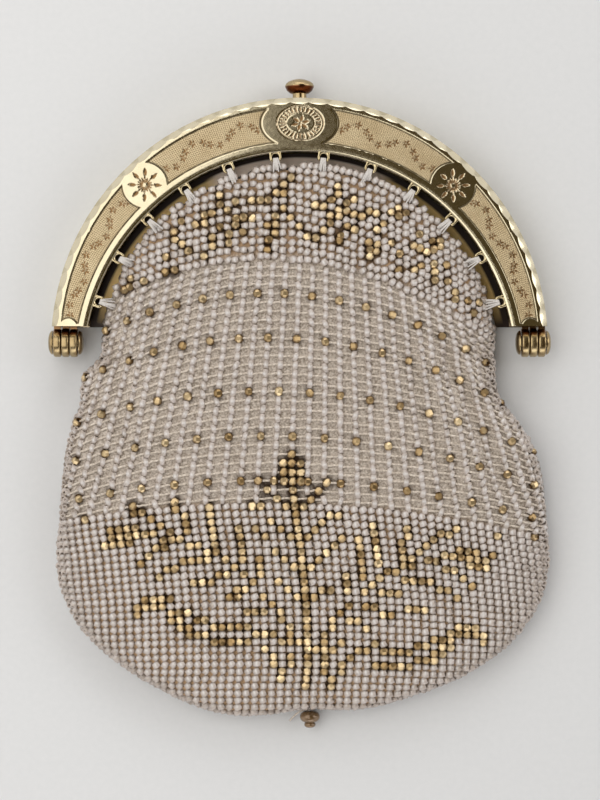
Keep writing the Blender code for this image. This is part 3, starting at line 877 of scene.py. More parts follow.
# %% [markdown]
# ## Glass, gilt and thread
# The pale beads are lilac-white glass: each takes a tone of its own and is a little cloudy, and a
# painted highlight lies in a streak on its outward side. Clear glass would need light inside every
# bead and show only noise, so the streak is painted light, a value that the mesh keeps, and a coat
# gives the gloss. The gold beads are gilt over glass, with painted light on their outward side and
# painted shade towards their edges and holes. Thread is matt, with fine fibres as noise.

# %% Glass, gilt and thread finishes
pearl = Finish("lilac_white_glass", roughness=0.18, coat_weight=0.6, coat_roughness=0.06)
glass = pearl.mix(pearl.layer("tone"), (0.28, 0.24, 0.22, 1), (0.50, 0.45, 0.43, 1))
cloudy = pearl.mix(pearl.noise(1500.0, 2.0), glass, (0.54, 0.45, 0.37, 1))
# Painted highlight: each bead is paler in a streak on its outward side.
streak = pearl.layer("painted_light")
pearl.set("Base Color", pearl.mix(streak * streak, cloudy, (0.72, 0.69, 0.67, 1)))

gilt = Finish("cut_gold_glass", metallic=0.8, roughness=0.3)
golden = gilt.mix(gilt.layer("tone"), (0.32, 0.21, 0.09, 1), (0.78, 0.61, 0.36, 1))
# Painted light and shade: each gold bead is golden on its outward side and nearly black towards its edges
# and hole.
lit = (gilt.layer("painted_light") * 1.5).limited()
gilt.set("Base Color", gilt.mix(lit, (0.09, 0.045, 0.015, 1), golden))

cloth = Finish("knitted_thread", roughness=0.95)
stitch = cloth.noise(2600.0, 2.0)
dense = cloth.mix(stitch, (0.30, 0.17, 0.08, 1), (0.68, 0.49, 0.32, 1))
fibre = ((stitch - 0.5) * 2.4 + 0.5).limited()
loose = cloth.mix(fibre, (0.30, 0.245, 0.195, 1), (0.78, 0.70, 0.62, 1))
knit = cloth.mix(cloth.layer("lattice"), dense, loose)
cloth.set("Base Color", cloth.mix(cloth.layer("shade"), knit, (0.035, 0.015, 0.004, 1)))
cloth.bump(stitch, 0.15)

strand = Finish("cream_thread", roughness=0.9)
fuzz = ((strand.noise(2400.0, 3.0) - 0.5) * 2.2 + 0.5).limited()
strand.set("Base Color", strand.mix(fuzz, (0.40, 0.33, 0.26, 1), (0.82, 0.74, 0.64, 1)))
strand.bump(fuzz, 0.05)

white_thread = Finish("white_thread", roughness=0.7)
fuzz = white_thread.noise(7000.0, 2.0)
white_thread.set("Base Color", white_thread.mix(fuzz, (0.48, 0.44, 0.40, 1), (0.84, 0.81, 0.78, 1)))
print("finishes mixed")

# %% [markdown]
# ## Beads as pieces
# Beads of one kind and one side become one mesh, which is far lighter than an object for each. Every
# bead is turned and sized a little differently, because a bag of equal beads looks cast. Places that
# the rows leave free, at the mouth, the seam and the turned lower edge, are filled with loose beads.

# %% Bead sizes
PEARL_SHAPE = ring_bead(1.50, 1.42, 0.40, 10, 6)
TOP_SHAPE = ring_bead(1.50, 1.38, 0.40, 10, 6)
GOLD_SHAPE = cut_bead(1.65, 1.74, 0.50, 7)
LATTICE_SHAPE = ring_bead(1.90, 1.20, 0.35, 9, 6)
BACK_SHAPE = ring_bead(1.30, 1.42, 0.45, 7, 4)
BEAD_DEPTH = 0.72
# Cut beads lie this much higher.
CUT_LIFT = 0.1
# How far the painted light reaches along the hole, in a round bead and in a cut one.
ROUND_PAINT_REACH, CUT_PAINT_REACH = 0.3, 1.2
# How far a bead's hole is turned from the row: nearly along it, or upright in the lattice.
ALONG_ROW, UPRIGHT = -0.38, math.pi / 2
# A bead is added where none lies nearer than this, and at random only above this row.
FREE_GAP = 1.1
JUMBLE_END = 257


def bead_painted_light(shape, reach):
    """Painted light: a patch on the bead's outward side, where light would gather. It fades to the
    sides as a power of the height, and along the hole as a bell of the given reach."""
    along, out = shape[0][:, 0], shape[0][:, 2]
    return np.clip(out / out.max(), 0, 1) ** 1.6 * np.exp(-((along / reach) ** 2))


def row_pixel(x, y):
    """The row that runs through a place. A row's drop at that place is added back until the answer
    no longer changes."""
    pixel = np.full_like(y, PICTURE_MIDDLE[1])
    for _ in range(6):
        drop = row_bend(pixel) * ((x - ROW_APEX_X) / ROW_SPAN) ** 2
        pixel = PICTURE_MIDDLE[1] - (y + drop - PICTURE_CENTRE[1]) / (PIXEL * NEARNESS)
    return pixel


def fill_edges(beads, front):
    """Adds beads at the mouth, the sides, the lower edge and in the jumbled top zone, wherever the
    rows leave a place free."""
    across, down, kind = beads
    taken = bag_point(across, down, 0.0, front)
    rims = (0.001, 0.014, 0.03, 0.93, 0.96, 0.985, 1.0)
    edges = np.meshgrid(np.linspace(-0.985, 0.985, 420), rims)
    sides = np.meshgrid((-1.0, -0.994, -0.98, 0.98, 0.994, 1.0), np.linspace(0.01, 0.97, 220))
    jumble = rng.uniform(-0.97, 0.97, 2500), rng.uniform(0.02, 0.42, 2500)
    place = bag_point(*jumble, 0.0, front)
    upper = row_pixel(place[:, 0], place[:, 1]) < JUMBLE_END
    new_across, new_down = (
        np.concatenate([edge.ravel(), side.ravel(), chance[upper]])
        for edge, side, chance in zip(edges, sides, jumble)
    )
    free = []
    for number, place in enumerate(bag_point(new_across, new_down, 0.0, front)):
        if ((taken - place) ** 2).sum(axis=1).min() > FREE_GAP**2:
            taken = np.vstack([taken, place])
            free.append(number)
    added = (new_across[free], new_down[free], np.full(len(free), TOP_PEARL))
    return tuple(np.concatenate(pair) for pair in zip(beads, added))


def add_beads(name, kinds, beads, front, shape, look, tilt, spread, flat=False):
    """Makes the beads of some kinds into one piece, and gives their centres."""
    across, down, kind = beads
    chosen = np.isin(kind, kinds)
    across, down = across[chosen], down[chosen]
    count, corners = len(across), len(shape[0])
    axes = bead_axes(across, down, front, rng.normal(tilt, spread, count), rng.normal(0, 0.18, count))
    depth = BEAD_DEPTH - CUT_LIFT * flat + rng.normal(0, 0.05, count)
    out = bag_normal(across, down, front)
    centres = bag_point(across, down, 0.0, front) - out * depth[:, None]
    points, quads = scatter(shape, centres, axes, 1 + rng.normal(0, 0.045, (count, 3)))
    tones = np.repeat(rng.uniform(0, 1, count), corners)
    painted_light = bead_painted_light(shape, CUT_PAINT_REACH if flat else ROUND_PAINT_REACH)
    layers = {"tone": tones, "painted_light": np.tile(painted_light, count)}
    made = add_piece(name, points, quads, look.material, smooth=not flat, layers=layers)
    print(name, count, "beads,", triangle_count(made), "triangles")
    return centres


# %% All beads
front_beads = fill_edges(tuple(bead_rows(True)), True)
back_beads = fill_edges(tuple(bead_rows(False)), False)
add_beads("front_pearl_beads", (PEARL,), front_beads, True, PEARL_SHAPE, pearl, ALONG_ROW, 0.13)
add_beads("front_top_beads", (TOP_PEARL,), front_beads, True, TOP_SHAPE, pearl, ALONG_ROW, 0.5)
add_beads("front_lattice_beads", (LATTICE,), front_beads, True, LATTICE_SHAPE, pearl, UPRIGHT, 0.22)
golds = add_beads("front_gold_beads", (GOLD,), front_beads, True, GOLD_SHAPE, gilt, ALONG_ROW, 0.5, True)
dots = add_beads("front_gold_dots", (LATTICE_GOLD,), front_beads, True, GOLD_SHAPE, gilt, UPRIGHT, 0.3, True)
add_beads("back_pearl_beads", (PEARL, TOP_PEARL), back_beads, False, BACK_SHAPE, pearl, ALONG_ROW, 0.2)
add_beads("back_lattice_beads", (LATTICE,), back_beads, False, BACK_SHAPE, pearl, UPRIGHT, 0.1)
add_beads("back_gold_beads", (LATTICE_GOLD, GOLD), back_beads, False, BACK_SHAPE, gilt, UPRIGHT, 0.3, True)

# %% [markdown]
# ## Cloth piece
# The rings of the cloth become one closed shell. Each of its points keeps two values: how much it
# belongs to the open lattice, where the thread is paler, and how much a gold bead shades it, because
# the photograph has a dark line round the gold.


# %% Cloth
LATTICE_TOP, LATTICE_END, KNIT_FADE = 251, 507, 6


def near_beads(points, centres, touching, clear):
    """1 within touching millimetres of the nearest bead, falling to 0 at clear."""
    square = (points**2).sum(1)[:, None] + (centres**2).sum(1)[None] - 2 * points @ centres.T
    distance = np.sqrt(np.maximum(square.min(axis=1), 0))
    return np.clip((clear - distance) / (clear - touching), 0, 1)


outer_rings = cloth_rings(160, 96, CLOTH_INSET)
inner_rings = cloth_rings(160, 40, CLOTH_INSET + CLOTH_THICKNESS)
around = outer_rings.shape[1]
outer_count = outer_rings.shape[0] * around
shell_points = np.concatenate([outer_rings.reshape(-1, 3), inner_rings.reshape(-1, 3)])
outer_quads = grid_quads(len(outer_rings), around, wrap_columns=True)
inner_quads = grid_quads(len(inner_rings), around, wrap_columns=True)[:, ::-1] + outer_count
turn = np.arange(around)
after = (turn + 1) % around
rim_quads = np.stack([turn, turn + outer_count, after + outer_count, after], axis=1)
pixel = row_pixel(shell_points[:, 0], shell_points[:, 1])
open_knit = np.clip((pixel - LATTICE_TOP) / KNIT_FADE, 0, 1)
open_knit = open_knit * np.clip((LATTICE_END - pixel) / KNIT_FADE, 0, 1)
shade = near_beads(shell_points, golds, 1.0, 1.7) + 0.8 * near_beads(shell_points, dots, 0.7, 1.4)
shell_quads = np.concatenate([outer_quads, inner_quads, rim_quads])
shell_layers = {"lattice": open_knit, "shade": np.minimum(shade, 1)}
shell = add_piece("knitted_bag", shell_points, shell_quads, cloth.material, layers=shell_layers)
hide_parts("beaded_bag")
print("cloth", triangle_count(shell), "triangles")

# %% [markdown]
# ## Bars of the lattice
# In the open middle part the thread crosses bare from one column of beads to the next. One thin tube
# follows each row of the knitting at the depth of the beads' holes, and so makes all bars of the row.


# %% Bars
BAR_DEPTH = 0.6
BAR_RADIUS = 0.22
BAR_CLIMB = 0.3
BAR_JITTER = 0.035
BAR_START = 0.5


def row_paths(front, steps):
    """Each lattice row as evenly spaced points a little under the surface, with outward directions.
    A bar climbs from one column to the next and falls back under the column's bead."""
    paths, outs = [], []
    for pixel in LATTICE_ROWS:
        line = RowLine(pixel, front)
        at = np.linspace(BAR_START, line.length[-1] - BAR_START, steps)
        across = np.interp(at, line.length, line.across)
        down = np.interp(at, line.length, line.down)
        column = (at - np.interp(lattice_x(pixel), line.x, line.length)) / lattice_pitch(pixel)
        outs.append(bag_normal(across, down, front))
        paths.append(bag_point(across, down, 0.0, front) - outs[-1] * BAR_DEPTH)
        climb = BAR_CLIMB * (column - np.floor(column) - 0.5)
        paths[-1][:, 1] += climb + rng.normal(0, BAR_JITTER, steps)
    return np.stack(paths), np.stack(outs)


for name, front, steps in (("front_bars", True, 150), ("back_bars", False, 60)):
    points, faces = tubes(*row_paths(front, steps), BAR_RADIUS)
    bars = add_piece(name, points, faces, strand.material)
    print(name, triangle_count(bars), "triangles")

# %% [markdown]
# ## The engraved jaws
# Each jaw is a half ring of thin brass folded to a channel. Its outer edge is milled into scallops
# and its face is engraved: an oval medallion at the top, a star on each shoulder, and hatched panels
# with a leafy scroll between them. A profile carried round the half ring makes the channel. Its face
# has so many points that the cuts can be pressed into it, and each point keeps how deep it is cut,
# so that the material can darken the cuts too. The finest hatching is left to the material.

# %% Cuts
JAW_END_Y = 3.6
MID_HEIGHT = 4.0
SCALLOPS = 39
MEDALLION = (0.13, 40.3)
MEDALLION_OVAL = (4.2, 3.1)
STARS = ((-27.9, 29.1), (27.7, 29.0))
# Leaves of a star as (turn, start, length, width, depth).
STAR_LEAVES = ((0, 1.60, 1.55, 0.66, 1.0), (0, 0.20, 1.70, 0.30, 1.0), (np.pi / 8, 0.35, 1.1, 0.46, 0.9))


def cut_line(distance, width):
    """1 on the line, fading to 0 a width away from it."""
    return np.clip(1 - np.abs(distance) / width, 0, 1)


def leaf_cut(x, y, angle, start, length, width):
    """A leaf that points away from the origin: its half width swells as a sine from tip to tip."""
    along = x * np.cos(angle) + y * np.sin(angle) - start
    beside = y * np.cos(angle) - x * np.sin(angle)
    share = np.clip(along / length, 0, 1)
    half = width / 2 * np.sin(np.pi * share**0.75)
    return np.clip((half - np.abs(beside)) / 0.09, 0, 1)


def star_cuts(x, y, turn):
    """Eight kites round a rosette of eight small leaves."""
    cut = np.zeros_like(x)
    for petal in range(8):
        for more, start, length, width, depth in STAR_LEAVES:
            leaf = leaf_cut(x, y, turn + petal * np.pi / 4 + more, start, length, width)
            cut = np.maximum(cut, depth * leaf)
    return cut


def medallion_cuts(x, y):
    """Oval lines, a ring of ticks between them and a flower in the middle."""
    wide, high = MEDALLION_OVAL
    oval = np.hypot(x / wide, y / high)
    angle = np.arctan2(y / high, x / wide)
    cut = cut_line(oval - 1.0, 0.035) + 0.6 * cut_line(oval - 0.90, 0.02)
    cut += 0.8 * cut_line(oval - 0.62, 0.025)
    ring = (oval > 0.66) & (oval < 0.89)
    cut += np.where(ring, np.clip(1.6 * np.cos(28 * angle) - 0.3, 0, 1), 0)
    for petal in range(6):
        cut += leaf_cut(x, y / 0.8, petal * np.pi / 3 + 0.3, 0.3, 1.6, 0.72)
    return np.clip(cut + cut_line(np.hypot(x, y), 0.3), 0, 1)


print("medallion of", [2 * half for half in MEDALLION_OVAL], "mm and", len(STARS), "stars")

# %% Panels and scroll
# The panels keep clear of the mouth, the outer edge, the medallion, the stars and the hinges.
PANEL_INNER, PANEL_OUTER, PANEL_END = 1.75, 43.15, 4.1
MEDALLION_CLEAR = (7.0, 4.6)
STAR_CLEAR = 4.15
HINGE_CORNER, HINGE_CLEAR = (41.75, 3.3), 1.75
# The scroll's leaves stand in clusters along each half wave, as (angle in degrees, length, width).
BAND_RADIUS = 40.6
SCROLL_START = 1.1
SCROLL_STEP = 4.6
SCROLL_SWING = 0.38
CLUSTERS = (0.5, 2.4, 4.1)
CLUSTER_LEAVES = ((15, 0.95, 0.46), (70, 0.90, 0.46), (-62, 0.90, 0.46))
CLUSTER_LEAVES += ((140, 0.70, 0.38), (-125, 0.70, 0.38))


def panel_depths(x, y):
    """How far a place lies inside the panels, and where it lies between their two lines."""
    from_inner = np.hypot(x, y - MOUTH_Y) - MOUTH_RADIUS - PANEL_INNER
    from_outer = PANEL_OUTER - np.hypot(x, y)
    inside = np.minimum(from_inner, from_outer)
    oval = np.hypot(x / MEDALLION_CLEAR[0], (y - MEDALLION[1]) / MEDALLION_CLEAR[1])
    inside = np.minimum(inside, 4.4 * (oval - 1))
    for at_x, at_y in STARS:
        inside = np.minimum(inside, np.hypot(x - at_x, y - at_y) - STAR_CLEAR)
    corner = np.hypot(np.abs(x) - HINGE_CORNER[0], y - HINGE_CORNER[1])
    inside = np.minimum(inside, corner - HINGE_CLEAR)
    inside = np.minimum(inside, y - PANEL_END)
    return inside, (from_inner - from_outer) / 2, (from_inner + from_outer) / 2


def scroll_cuts(along, off, half):
    """A wavy stem with clusters of leaves: every half wave is the same, turned over."""
    number = np.floor(along / SCROLL_STEP)
    over = np.where(number % 2 == 0, 1.0, -1.0)
    cut = 0.7 * cut_line(off - SCROLL_SWING * half * np.sin(np.pi * along / SCROLL_STEP), 0.13)
    for shift in (-1, 0, 1):
        local = along - (number + shift) * SCROLL_STEP
        turned = over * (1 if shift == 0 else -1)
        for start in CLUSTERS:
            stem = SCROLL_SWING * half * np.sin(np.pi * start / SCROLL_STEP)
            place = (local - start, off * turned - stem)
            for angle, length, width in CLUSTER_LEAVES:
                cut = np.maximum(cut, leaf_cut(*place, math.radians(angle), 0.08, length, width))
    return cut


def engraving(x, y):
    """How deep each place is cut, how much of a border line it is and how much it is hatched."""
    inside, off, half = panel_depths(x, y)
    angle = np.abs(np.arctan2(x, y))
    line = cut_line(inside - 0.05, 0.19)
    scroll = scroll_cuts(angle * BAND_RADIUS + SCROLL_START, off, np.maximum(half, 0.3))
    cut = np.where(inside > 0.3, scroll, 0)
    for at_x, at_y in STARS:
        cut = np.maximum(cut, star_cuts(x - at_x, y - at_y, math.atan2(at_y, at_x)))
    cut = np.maximum(cut, medallion_cuts(x - MEDALLION[0], y - MEDALLION[1]))
    hatch = np.clip((inside - 0.12) / 0.08, 0, 1) * (1 - np.clip(cut * 1.5, 0, 1))
    return cut, line, hatch


print("engraving of the top point", [float(v) for v in engraving(np.array(0.0), np.array(42.0))])


# %% Jaw surface
# Heights count from the plane between the jaws.
FACE_RISE, RIM_RISE, BEVEL_DROP = 4.0, 3.1, 0.9
BEVEL_WIDTH = 1.1
BEVEL_FALLS = (0.92, 0.78, 0.60, 0.40, 0.20, 0.06)
SCALLOP_DEPTH = 0.36
RIM_WALL = 1.0
PARTING_GAP = 0.15
STEM_CLEAR = 1.55
CUT_DEPTH, HATCH_DEPTH = 0.11, 0.02
MOUTH_ROLL = 0.85
# The inner lip as (distance past the mouth's circle, height), and the underside's height.
INNER_LIP = ((0.12, 3.80), (0.0, 3.58), (0.0, 3.0))
UNDERSIDE = 3.0


def half_ring(centre_y, radius, share):
    """A circle about centre_y that starts and ends level with the hinges. The radius may vary."""
    start = np.arcsin((JAW_END_Y - centre_y) / radius[0])
    turn = start + (np.pi - 2 * start) * share
    return np.stack([radius * np.cos(turn), centre_y + radius * np.sin(turn)], axis=-1)


def jaw_profile(along, across):
    """Rows of (place, height over the jaws' parting plane) that run round the channel's section."""
    share = np.linspace(0, 1, along + 1)
    hollow = np.abs(np.sin(np.pi * SCALLOPS * share))
    crest = FRAME_RADIUS - BEVEL_WIDTH - SCALLOP_DEPTH * (hollow - 0.5)
    flat = np.ones_like(share)
    outside = half_ring(0, FRAME_RADIUS * flat, share)
    rim = half_ring(0, (FRAME_RADIUS - RIM_WALL) * flat, share)
    stem_gap = np.sqrt(np.maximum(STEM_CLEAR**2 - outside[:, 0] ** 2, 0))
    foot = PARTING_GAP + np.where(np.abs(outside[:, 0]) < STEM_CLEAR, stem_gap, 0)
    rows = [(outside, foot), (outside, RIM_RISE * flat)]
    for fall in BEVEL_FALLS:
        radius = crest + (FRAME_RADIUS - crest) * fall
        rows.append((half_ring(0, radius, share), (FACE_RISE - BEVEL_DROP * fall**1.15) * flat))
    edge = half_ring(0, crest, share)
    inner = half_ring(MOUTH_Y, (MOUTH_RADIUS + 0.35) * flat, share)
    for step in np.linspace(0, 1, across + 1):
        place = edge + (inner - edge) * step
        cut, line, hatch = engraving(place[:, 0], place[:, 1])
        from_mouth = np.hypot(place[:, 0], place[:, 1] - MOUTH_Y) - MOUTH_RADIUS
        roll = CUT_DEPTH * np.maximum(MOUTH_ROLL - from_mouth, 0)
        cuts = CUT_DEPTH * np.maximum(cut, line)
        rows.append((place, FACE_RISE - cuts - HATCH_DEPTH * hatch - roll))
    for past, height in INNER_LIP:
        rows.append((half_ring(MOUTH_Y, (MOUTH_RADIUS + past) * flat, share), height * flat))
    return rows + [(rim, UNDERSIDE * flat), (rim, foot)]


def add_jaw(name, side, along, across, node):
    """The rows of the section as one closed channel. Each point of the face keeps how deep it is cut,
    and a map of its place round the band and across it."""
    rows = jaw_profile(along, across)
    place = np.stack([place for place, height in rows])
    height = np.stack([height for place, height in rows])
    points = np.concatenate([place, (MID_HEIGHT + side * height)[..., None]], axis=-1)
    cut, line, hatch = engraving(place[..., 0], place[..., 1])
    first = 2 + len(BEVEL_FALLS)
    on_face = np.zeros(len(rows))
    on_face[first : first + across + 1] = 1
    points = points.reshape(-1, 3)
    faces = face_out(points, [grid_quads(*height.shape, wrap_rows=True), side_caps(*height.shape)])
    layers = {"cut": cut, "line": line, "hatch": hatch}
    layers = {key: values * on_face[:, None] for key, values in layers.items()}
    angle = np.arctan2(place[..., 0], place[..., 1]) * BAND_RADIUS
    uv = np.stack([angle, np.hypot(place[..., 0], place[..., 1])], axis=-1)
    made = add_piece(name, points, faces, engraved.material, layers=layers, uv=uv, crease=28)
    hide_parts(node)
    print(name, triangle_count(made), "triangles")


print("the section's face starts after", 2 + len(BEVEL_FALLS), "rows")

# %% [markdown]
# ## Brass finishes
# The polished face mirrors the room, so its roughness is low, with fine scratches. In the panels the
# hatching is cut in two directions, a third of a millimetre apart, which breaks the mirror up: they
# look tan on the bright side and light on the dark side. Old polish and dirt stay brown in the cuts.

# %% Engraved brass
engraved = Finish("engraved_gilt_brass", metallic=1.0)
cut, line, hatch = (engraved.layer(name) for name in ("cut", "line", "hatch"))
split = engraved.node("SeparateXYZ", sockets={0: engraved.node("UVMap", {"uv_map": "face_map"})})
split_y = Signal(engraved, split.socket.node.outputs[1])
HATCH_TURN = 2 * math.pi / 0.36
strokes = (split * HATCH_TURN).sine() * 0.5 + 0.5
cross = (split_y * HATCH_TURN + split * 3.0).sine() * 0.5 + 0.5
furrow = strokes * cross * hatch
wear = engraved.noise(260.0, 4.0)
scratch = engraved.noise(1400.0, 3.0)
clean = engraved.mix(wear, (0.58, 0.50, 0.33, 1), (0.73, 0.66, 0.49, 1))
tan = engraved.mix(wear, (0.50, 0.37, 0.20, 1), (0.80, 0.67, 0.43, 1))
hatched = engraved.mix(hatch * 0.9, clean, tan)
furrowed = engraved.mix(furrow * 0.85, hatched, (0.16, 0.09, 0.035, 1))
lined = engraved.mix((line * 1.3).limited(), furrowed, (0.10, 0.07, 0.03, 1))
engraved.set("Base Color", engraved.mix((cut * 1.1).limited(), lined, (0.27, 0.16, 0.07, 1)))
engraved.set("Roughness", (0.09 + scratch * 0.10 + hatch * 0.22 + (cut + line) * 0.28).limited())
engraved.bump((scratch * 0.05 - furrow + cut * (wear * 0.6)), 0.1, 0.8)
print("hatching every", round(2 * math.pi / HATCH_TURN, 2), "mm")

# %% Plain, aged and inner brass
brass =Finish("plain_gilt_brass", metallic=1.0)
mottle = brass.noise(300.0, 4.0)
brass.set("Base Color", brass.mix(mottle, (0.48, 0.37, 0.19, 1), (0.74, 0.64, 0.42, 1)))
brass.set("Roughness", (0.14 + mottle * 0.14).limited())
brass.bump(brass.noise(1800.0), 0.01)

aged = Finish("aged_brass", metallic=1.0)
mottle = aged.noise(420.0, 4.0)
worn = aged.mix(mottle, (0.20, 0.12, 0.05, 1), (0.62, 0.50, 0.28, 1))
# Painted shade: where the layer says, the brass turns dark red-brown, near the jaw on the knuckles and under
# the button's head.
aged.set("Base Color", aged.mix(aged.layer("stain_and_shade"), worn, (0.13, 0.035, 0.01, 1)))
aged.set("Roughness", (0.16 + mottle * 0.16).limited())
aged.bump(aged.noise(1500.0), 0.015)

inner_brass = Finish("warm_inner_brass", metallic=0.3)
stain_and_shade = inner_brass.noise(350.0, 4.0)
golden = inner_brass.mix(stain_and_shade, (0.70, 0.42, 0.12, 1), (1.0, 0.78, 0.36, 1))
# Painted light and shade: pale taupe at the top's middle, near black along the front jaw and at the ends.
lip_colour = inner_brass.mix(inner_brass.layer("painted_top_light"), golden, (0.90, 0.75, 0.64, 1))
shaded_lip = inner_brass.mix(inner_brass.layer("shade"), lip_colour, (0.020, 0.008, 0.003, 1))
inner_brass.set("Base Color", shaded_lip)
inner_brass.set("Roughness", (0.25 + stain_and_shade * 0.25).limited())
print("brass mixed")

# %% Jaws
add_jaw("front_jaw", 1, SCALLOPS * 28, 58, "front_frame")
add_jaw("back_jaw", -1, SCALLOPS * 12, 30, "back_frame")

# %% [markdown]
# ## The back jaw's inner side
# Behind the front lugs the inner side of the back jaw shows as a warm strip, golden along the bag,
# with painted shade along the front jaw and at the ends and a pale taupe painted as light in the
# middle of the top. A flat section carried round the mouth is enough, with its painted shade and
# light kept by the points.

# %% Inner lip
share = np.linspace(0, 1, 200)
lip_radii = MOUTH_RADIUS + np.array((0.3, 0.3, -0.25, -0.6, -1.05, -2.2, -2.2))
lip_heights = (0.80, 1.02, 1.02, 1.02, 1.02, 1.02, 0.80)
lip = np.stack([half_ring(MOUTH_Y, radius + 0 * share, share) for radius in lip_radii])
from_top = np.degrees(np.abs(np.arctan2(lip[..., 0], lip[..., 1] - MOUTH_Y)))
# Painted light: in the middle of the top the strip turns pale taupe.
top_light = np.clip((27 - from_top) / 4, 0, 1)
# Painted shade: the outer rows, along the front jaw, are near black, except at the top's middle.
dark = np.array((1.0, 1.0, 1.0, 1.0, 0.0, 0.0, 0.0))[:, None] * np.ones(len(share))
dark[3] -= top_light[3]
# Painted shade at both ends of the strip as well.
dark = np.maximum(dark, np.clip((from_top - 70) / 8, 0, 1))
lip_place = np.broadcast_arrays(lip[..., 0], lip[..., 1], np.array(lip_heights)[:, None])
points = np.stack(lip_place, axis=-1).reshape(-1, 3)
strip = (len(lip_radii), len(share))
faces = face_out(points, [grid_quads(*strip, wrap_rows=True), side_caps(*strip)])
layers = {"shade": dark, "painted_top_light": top_light}
lip = add_piece("back_jaw_lip", points, faces, inner_brass.material, layers=layers, crease=30)
print("inner lip", triangle_count(lip), "triangles")

# %% [markdown]
# ## Lugs
# The bag is sewn to small open rings along the mouth of each jaw. Each has a hole, a gap towards the
# bag and a neck that flares into the band. An oval section carried round the ring makes it, thicker
# where the neck is and rounded at the two horns.

# %% Lug rings
LUG_COUNT = 12
LUG_TURNS = np.pi / 2 + math.radians(13.1) * (np.arange(LUG_COUNT) - 5.5)
LUG_CENTRE_RADIUS = MOUTH_RADIUS - 0.8
LUG_INNER, LUG_OUTER, LUG_FLARE, LUG_HALF_HEIGHT = 0.62, 1.14, 0.55, 0.36
LUG_GAP, NECK_HALF, NECK_FADE = math.radians(36), math.radians(72), math.radians(34)


def lug_shape(steps=34, around=10):
    """A ring in its own plane, open towards +X, whose neck at -X flares out to the band."""
    turn = np.linspace(LUG_GAP, 2 * np.pi - LUG_GAP, steps)
    from_neck = np.abs(turn - np.pi)
    flare = np.clip((NECK_HALF - from_neck) / NECK_FADE, 0, 1)
    outer = LUG_OUTER + LUG_FLARE * flare * flare * (3 - 2 * flare)
    inner = np.full_like(turn, LUG_INNER)
    ends = np.minimum(np.arange(steps), np.arange(steps)[::-1])
    swell = np.sqrt(np.clip(1 - (1 - np.minimum(ends / 4, 1)) ** 2, 0.02, 1))
    section = np.linspace(0, 2 * np.pi, around, endpoint=False)
    middle, half = (outer + inner) / 2, (outer - inner) / 2 * swell
    radius = middle[:, None] + half[:, None] * np.cos(section)
    height = LUG_HALF_HEIGHT * swell[:, None] * np.sign(np.sin(section)) * np.abs(np.sin(section)) ** 0.6
    place = np.broadcast_arrays(radius * np.cos(turn)[:, None], radius * np.sin(turn)[:, None], height)
    quads = grid_quads(steps, around, wrap_columns=True)
    return np.stack(place, axis=-1).reshape(-1, 3), quads, end_caps(steps, around)


def add_lugs(name, height, node):
    """Copies of the ring, each turned so that its neck points away from the mouth's centre."""
    points, quads, caps = lug_shape()
    outward = np.stack([np.cos(LUG_TURNS), np.sin(LUG_TURNS), 0 * LUG_TURNS], axis=1)
    beside = np.stack([outward[:, 1], -outward[:, 0], 0 * LUG_TURNS], axis=1)
    up = np.tile((0.0, 0.0, 1.0), (LUG_COUNT, 1))
    axes = np.stack([-outward, -beside, up], axis=1)
    centres = outward * LUG_CENTRE_RADIUS + (0, MOUTH_Y, height)
    placed, many = scatter((points, quads), centres, axes, np.ones((LUG_COUNT, 3)))
    offsets = (np.arange(LUG_COUNT) * len(points))[:, None, None]
    ends = (caps[None] + offsets).reshape(-1, caps.shape[1])
    made = add_piece(name, placed, face_out(placed, [many, ends]), brass.material)
    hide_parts(node)


add_lugs("front_lugs", 7.35, "front_frame")
add_lugs("back_lugs", 0.65, "back_frame")
print(2 * LUG_COUNT, "lugs")

# %% [markdown]
# ## Sewing thread
# Thread is wound through each lug's hole many times and fans out over the first beads. Each strand is
# a thin tube from the hole to the bag, and no two strands take quite the same way.

# %% Thread through the lugs
SEWING_RADIUS = 0.13
SEWING_STEPS = 10
HOLE_FAN, BAG_FAN = 0.009, 0.019
FLOOR_CLEAR = 0.03


def sewing(strands, front, lug_height):
    """Strands from each hole to the bag, lifted in the middle as a parabola, with a little disorder."""
    fan = np.linspace(-1, 1, strands)[None, :] + rng.normal(0, 0.12, (LUG_COUNT, strands))
    turn = LUG_TURNS[:, None]
    hole = LUG_CENTRE_RADIUS - 0.1
    hole_turn = turn + fan * HOLE_FAN
    start = [hole * np.cos(hole_turn), hole * np.sin(hole_turn) + MOUTH_Y, lug_height + 0 * fan]
    start = np.stack(start, axis=-1)
    reach = MOUTH_RADIUS - 2.7 - rng.uniform(0, 1.2, fan.shape)
    spread = fan * BAG_FAN + rng.normal(0, 0.004, fan.shape)
    across, down = bag_place(reach * np.cos(turn + spread), reach * np.sin(turn + spread) + MOUTH_Y)
    end = bag_point(across, np.clip(down, 0, 1), 0.15, front)
    share = np.linspace(0, 1, SEWING_STEPS)[:, None]
    lift = 4 * share * (1 - share) * np.array((0, 0, 0.55 if front else -0.1))
    paths = start[..., None, :] * (1 - share) + end[..., None, :] * share + lift
    paths = paths.reshape(-1, SEWING_STEPS, 3)
    return paths, np.broadcast_to((0.0, 0.0, 1.0), paths.shape)


for name, strands, front, height in (("front_sewing", 9, True, 7.45), ("back_sewing", 6, False, 0.65)):
    points, faces = tubes(*sewing(strands, front, height), SEWING_RADIUS)
    points[:, 2] = np.maximum(points[:, 2], FLOOR_CLEAR)
    thread = add_piece(name, points, faces, white_thread.material)
    print(name, triangle_count(thread), "triangles")

# %% [markdown]
# ## Hinges, button and drop bead
# These are turned parts, so each is a profile spun about its own axis: rounded knuckles with slits
# between them, pins with domed heads, the mushroom of the push button and the bronze bead.


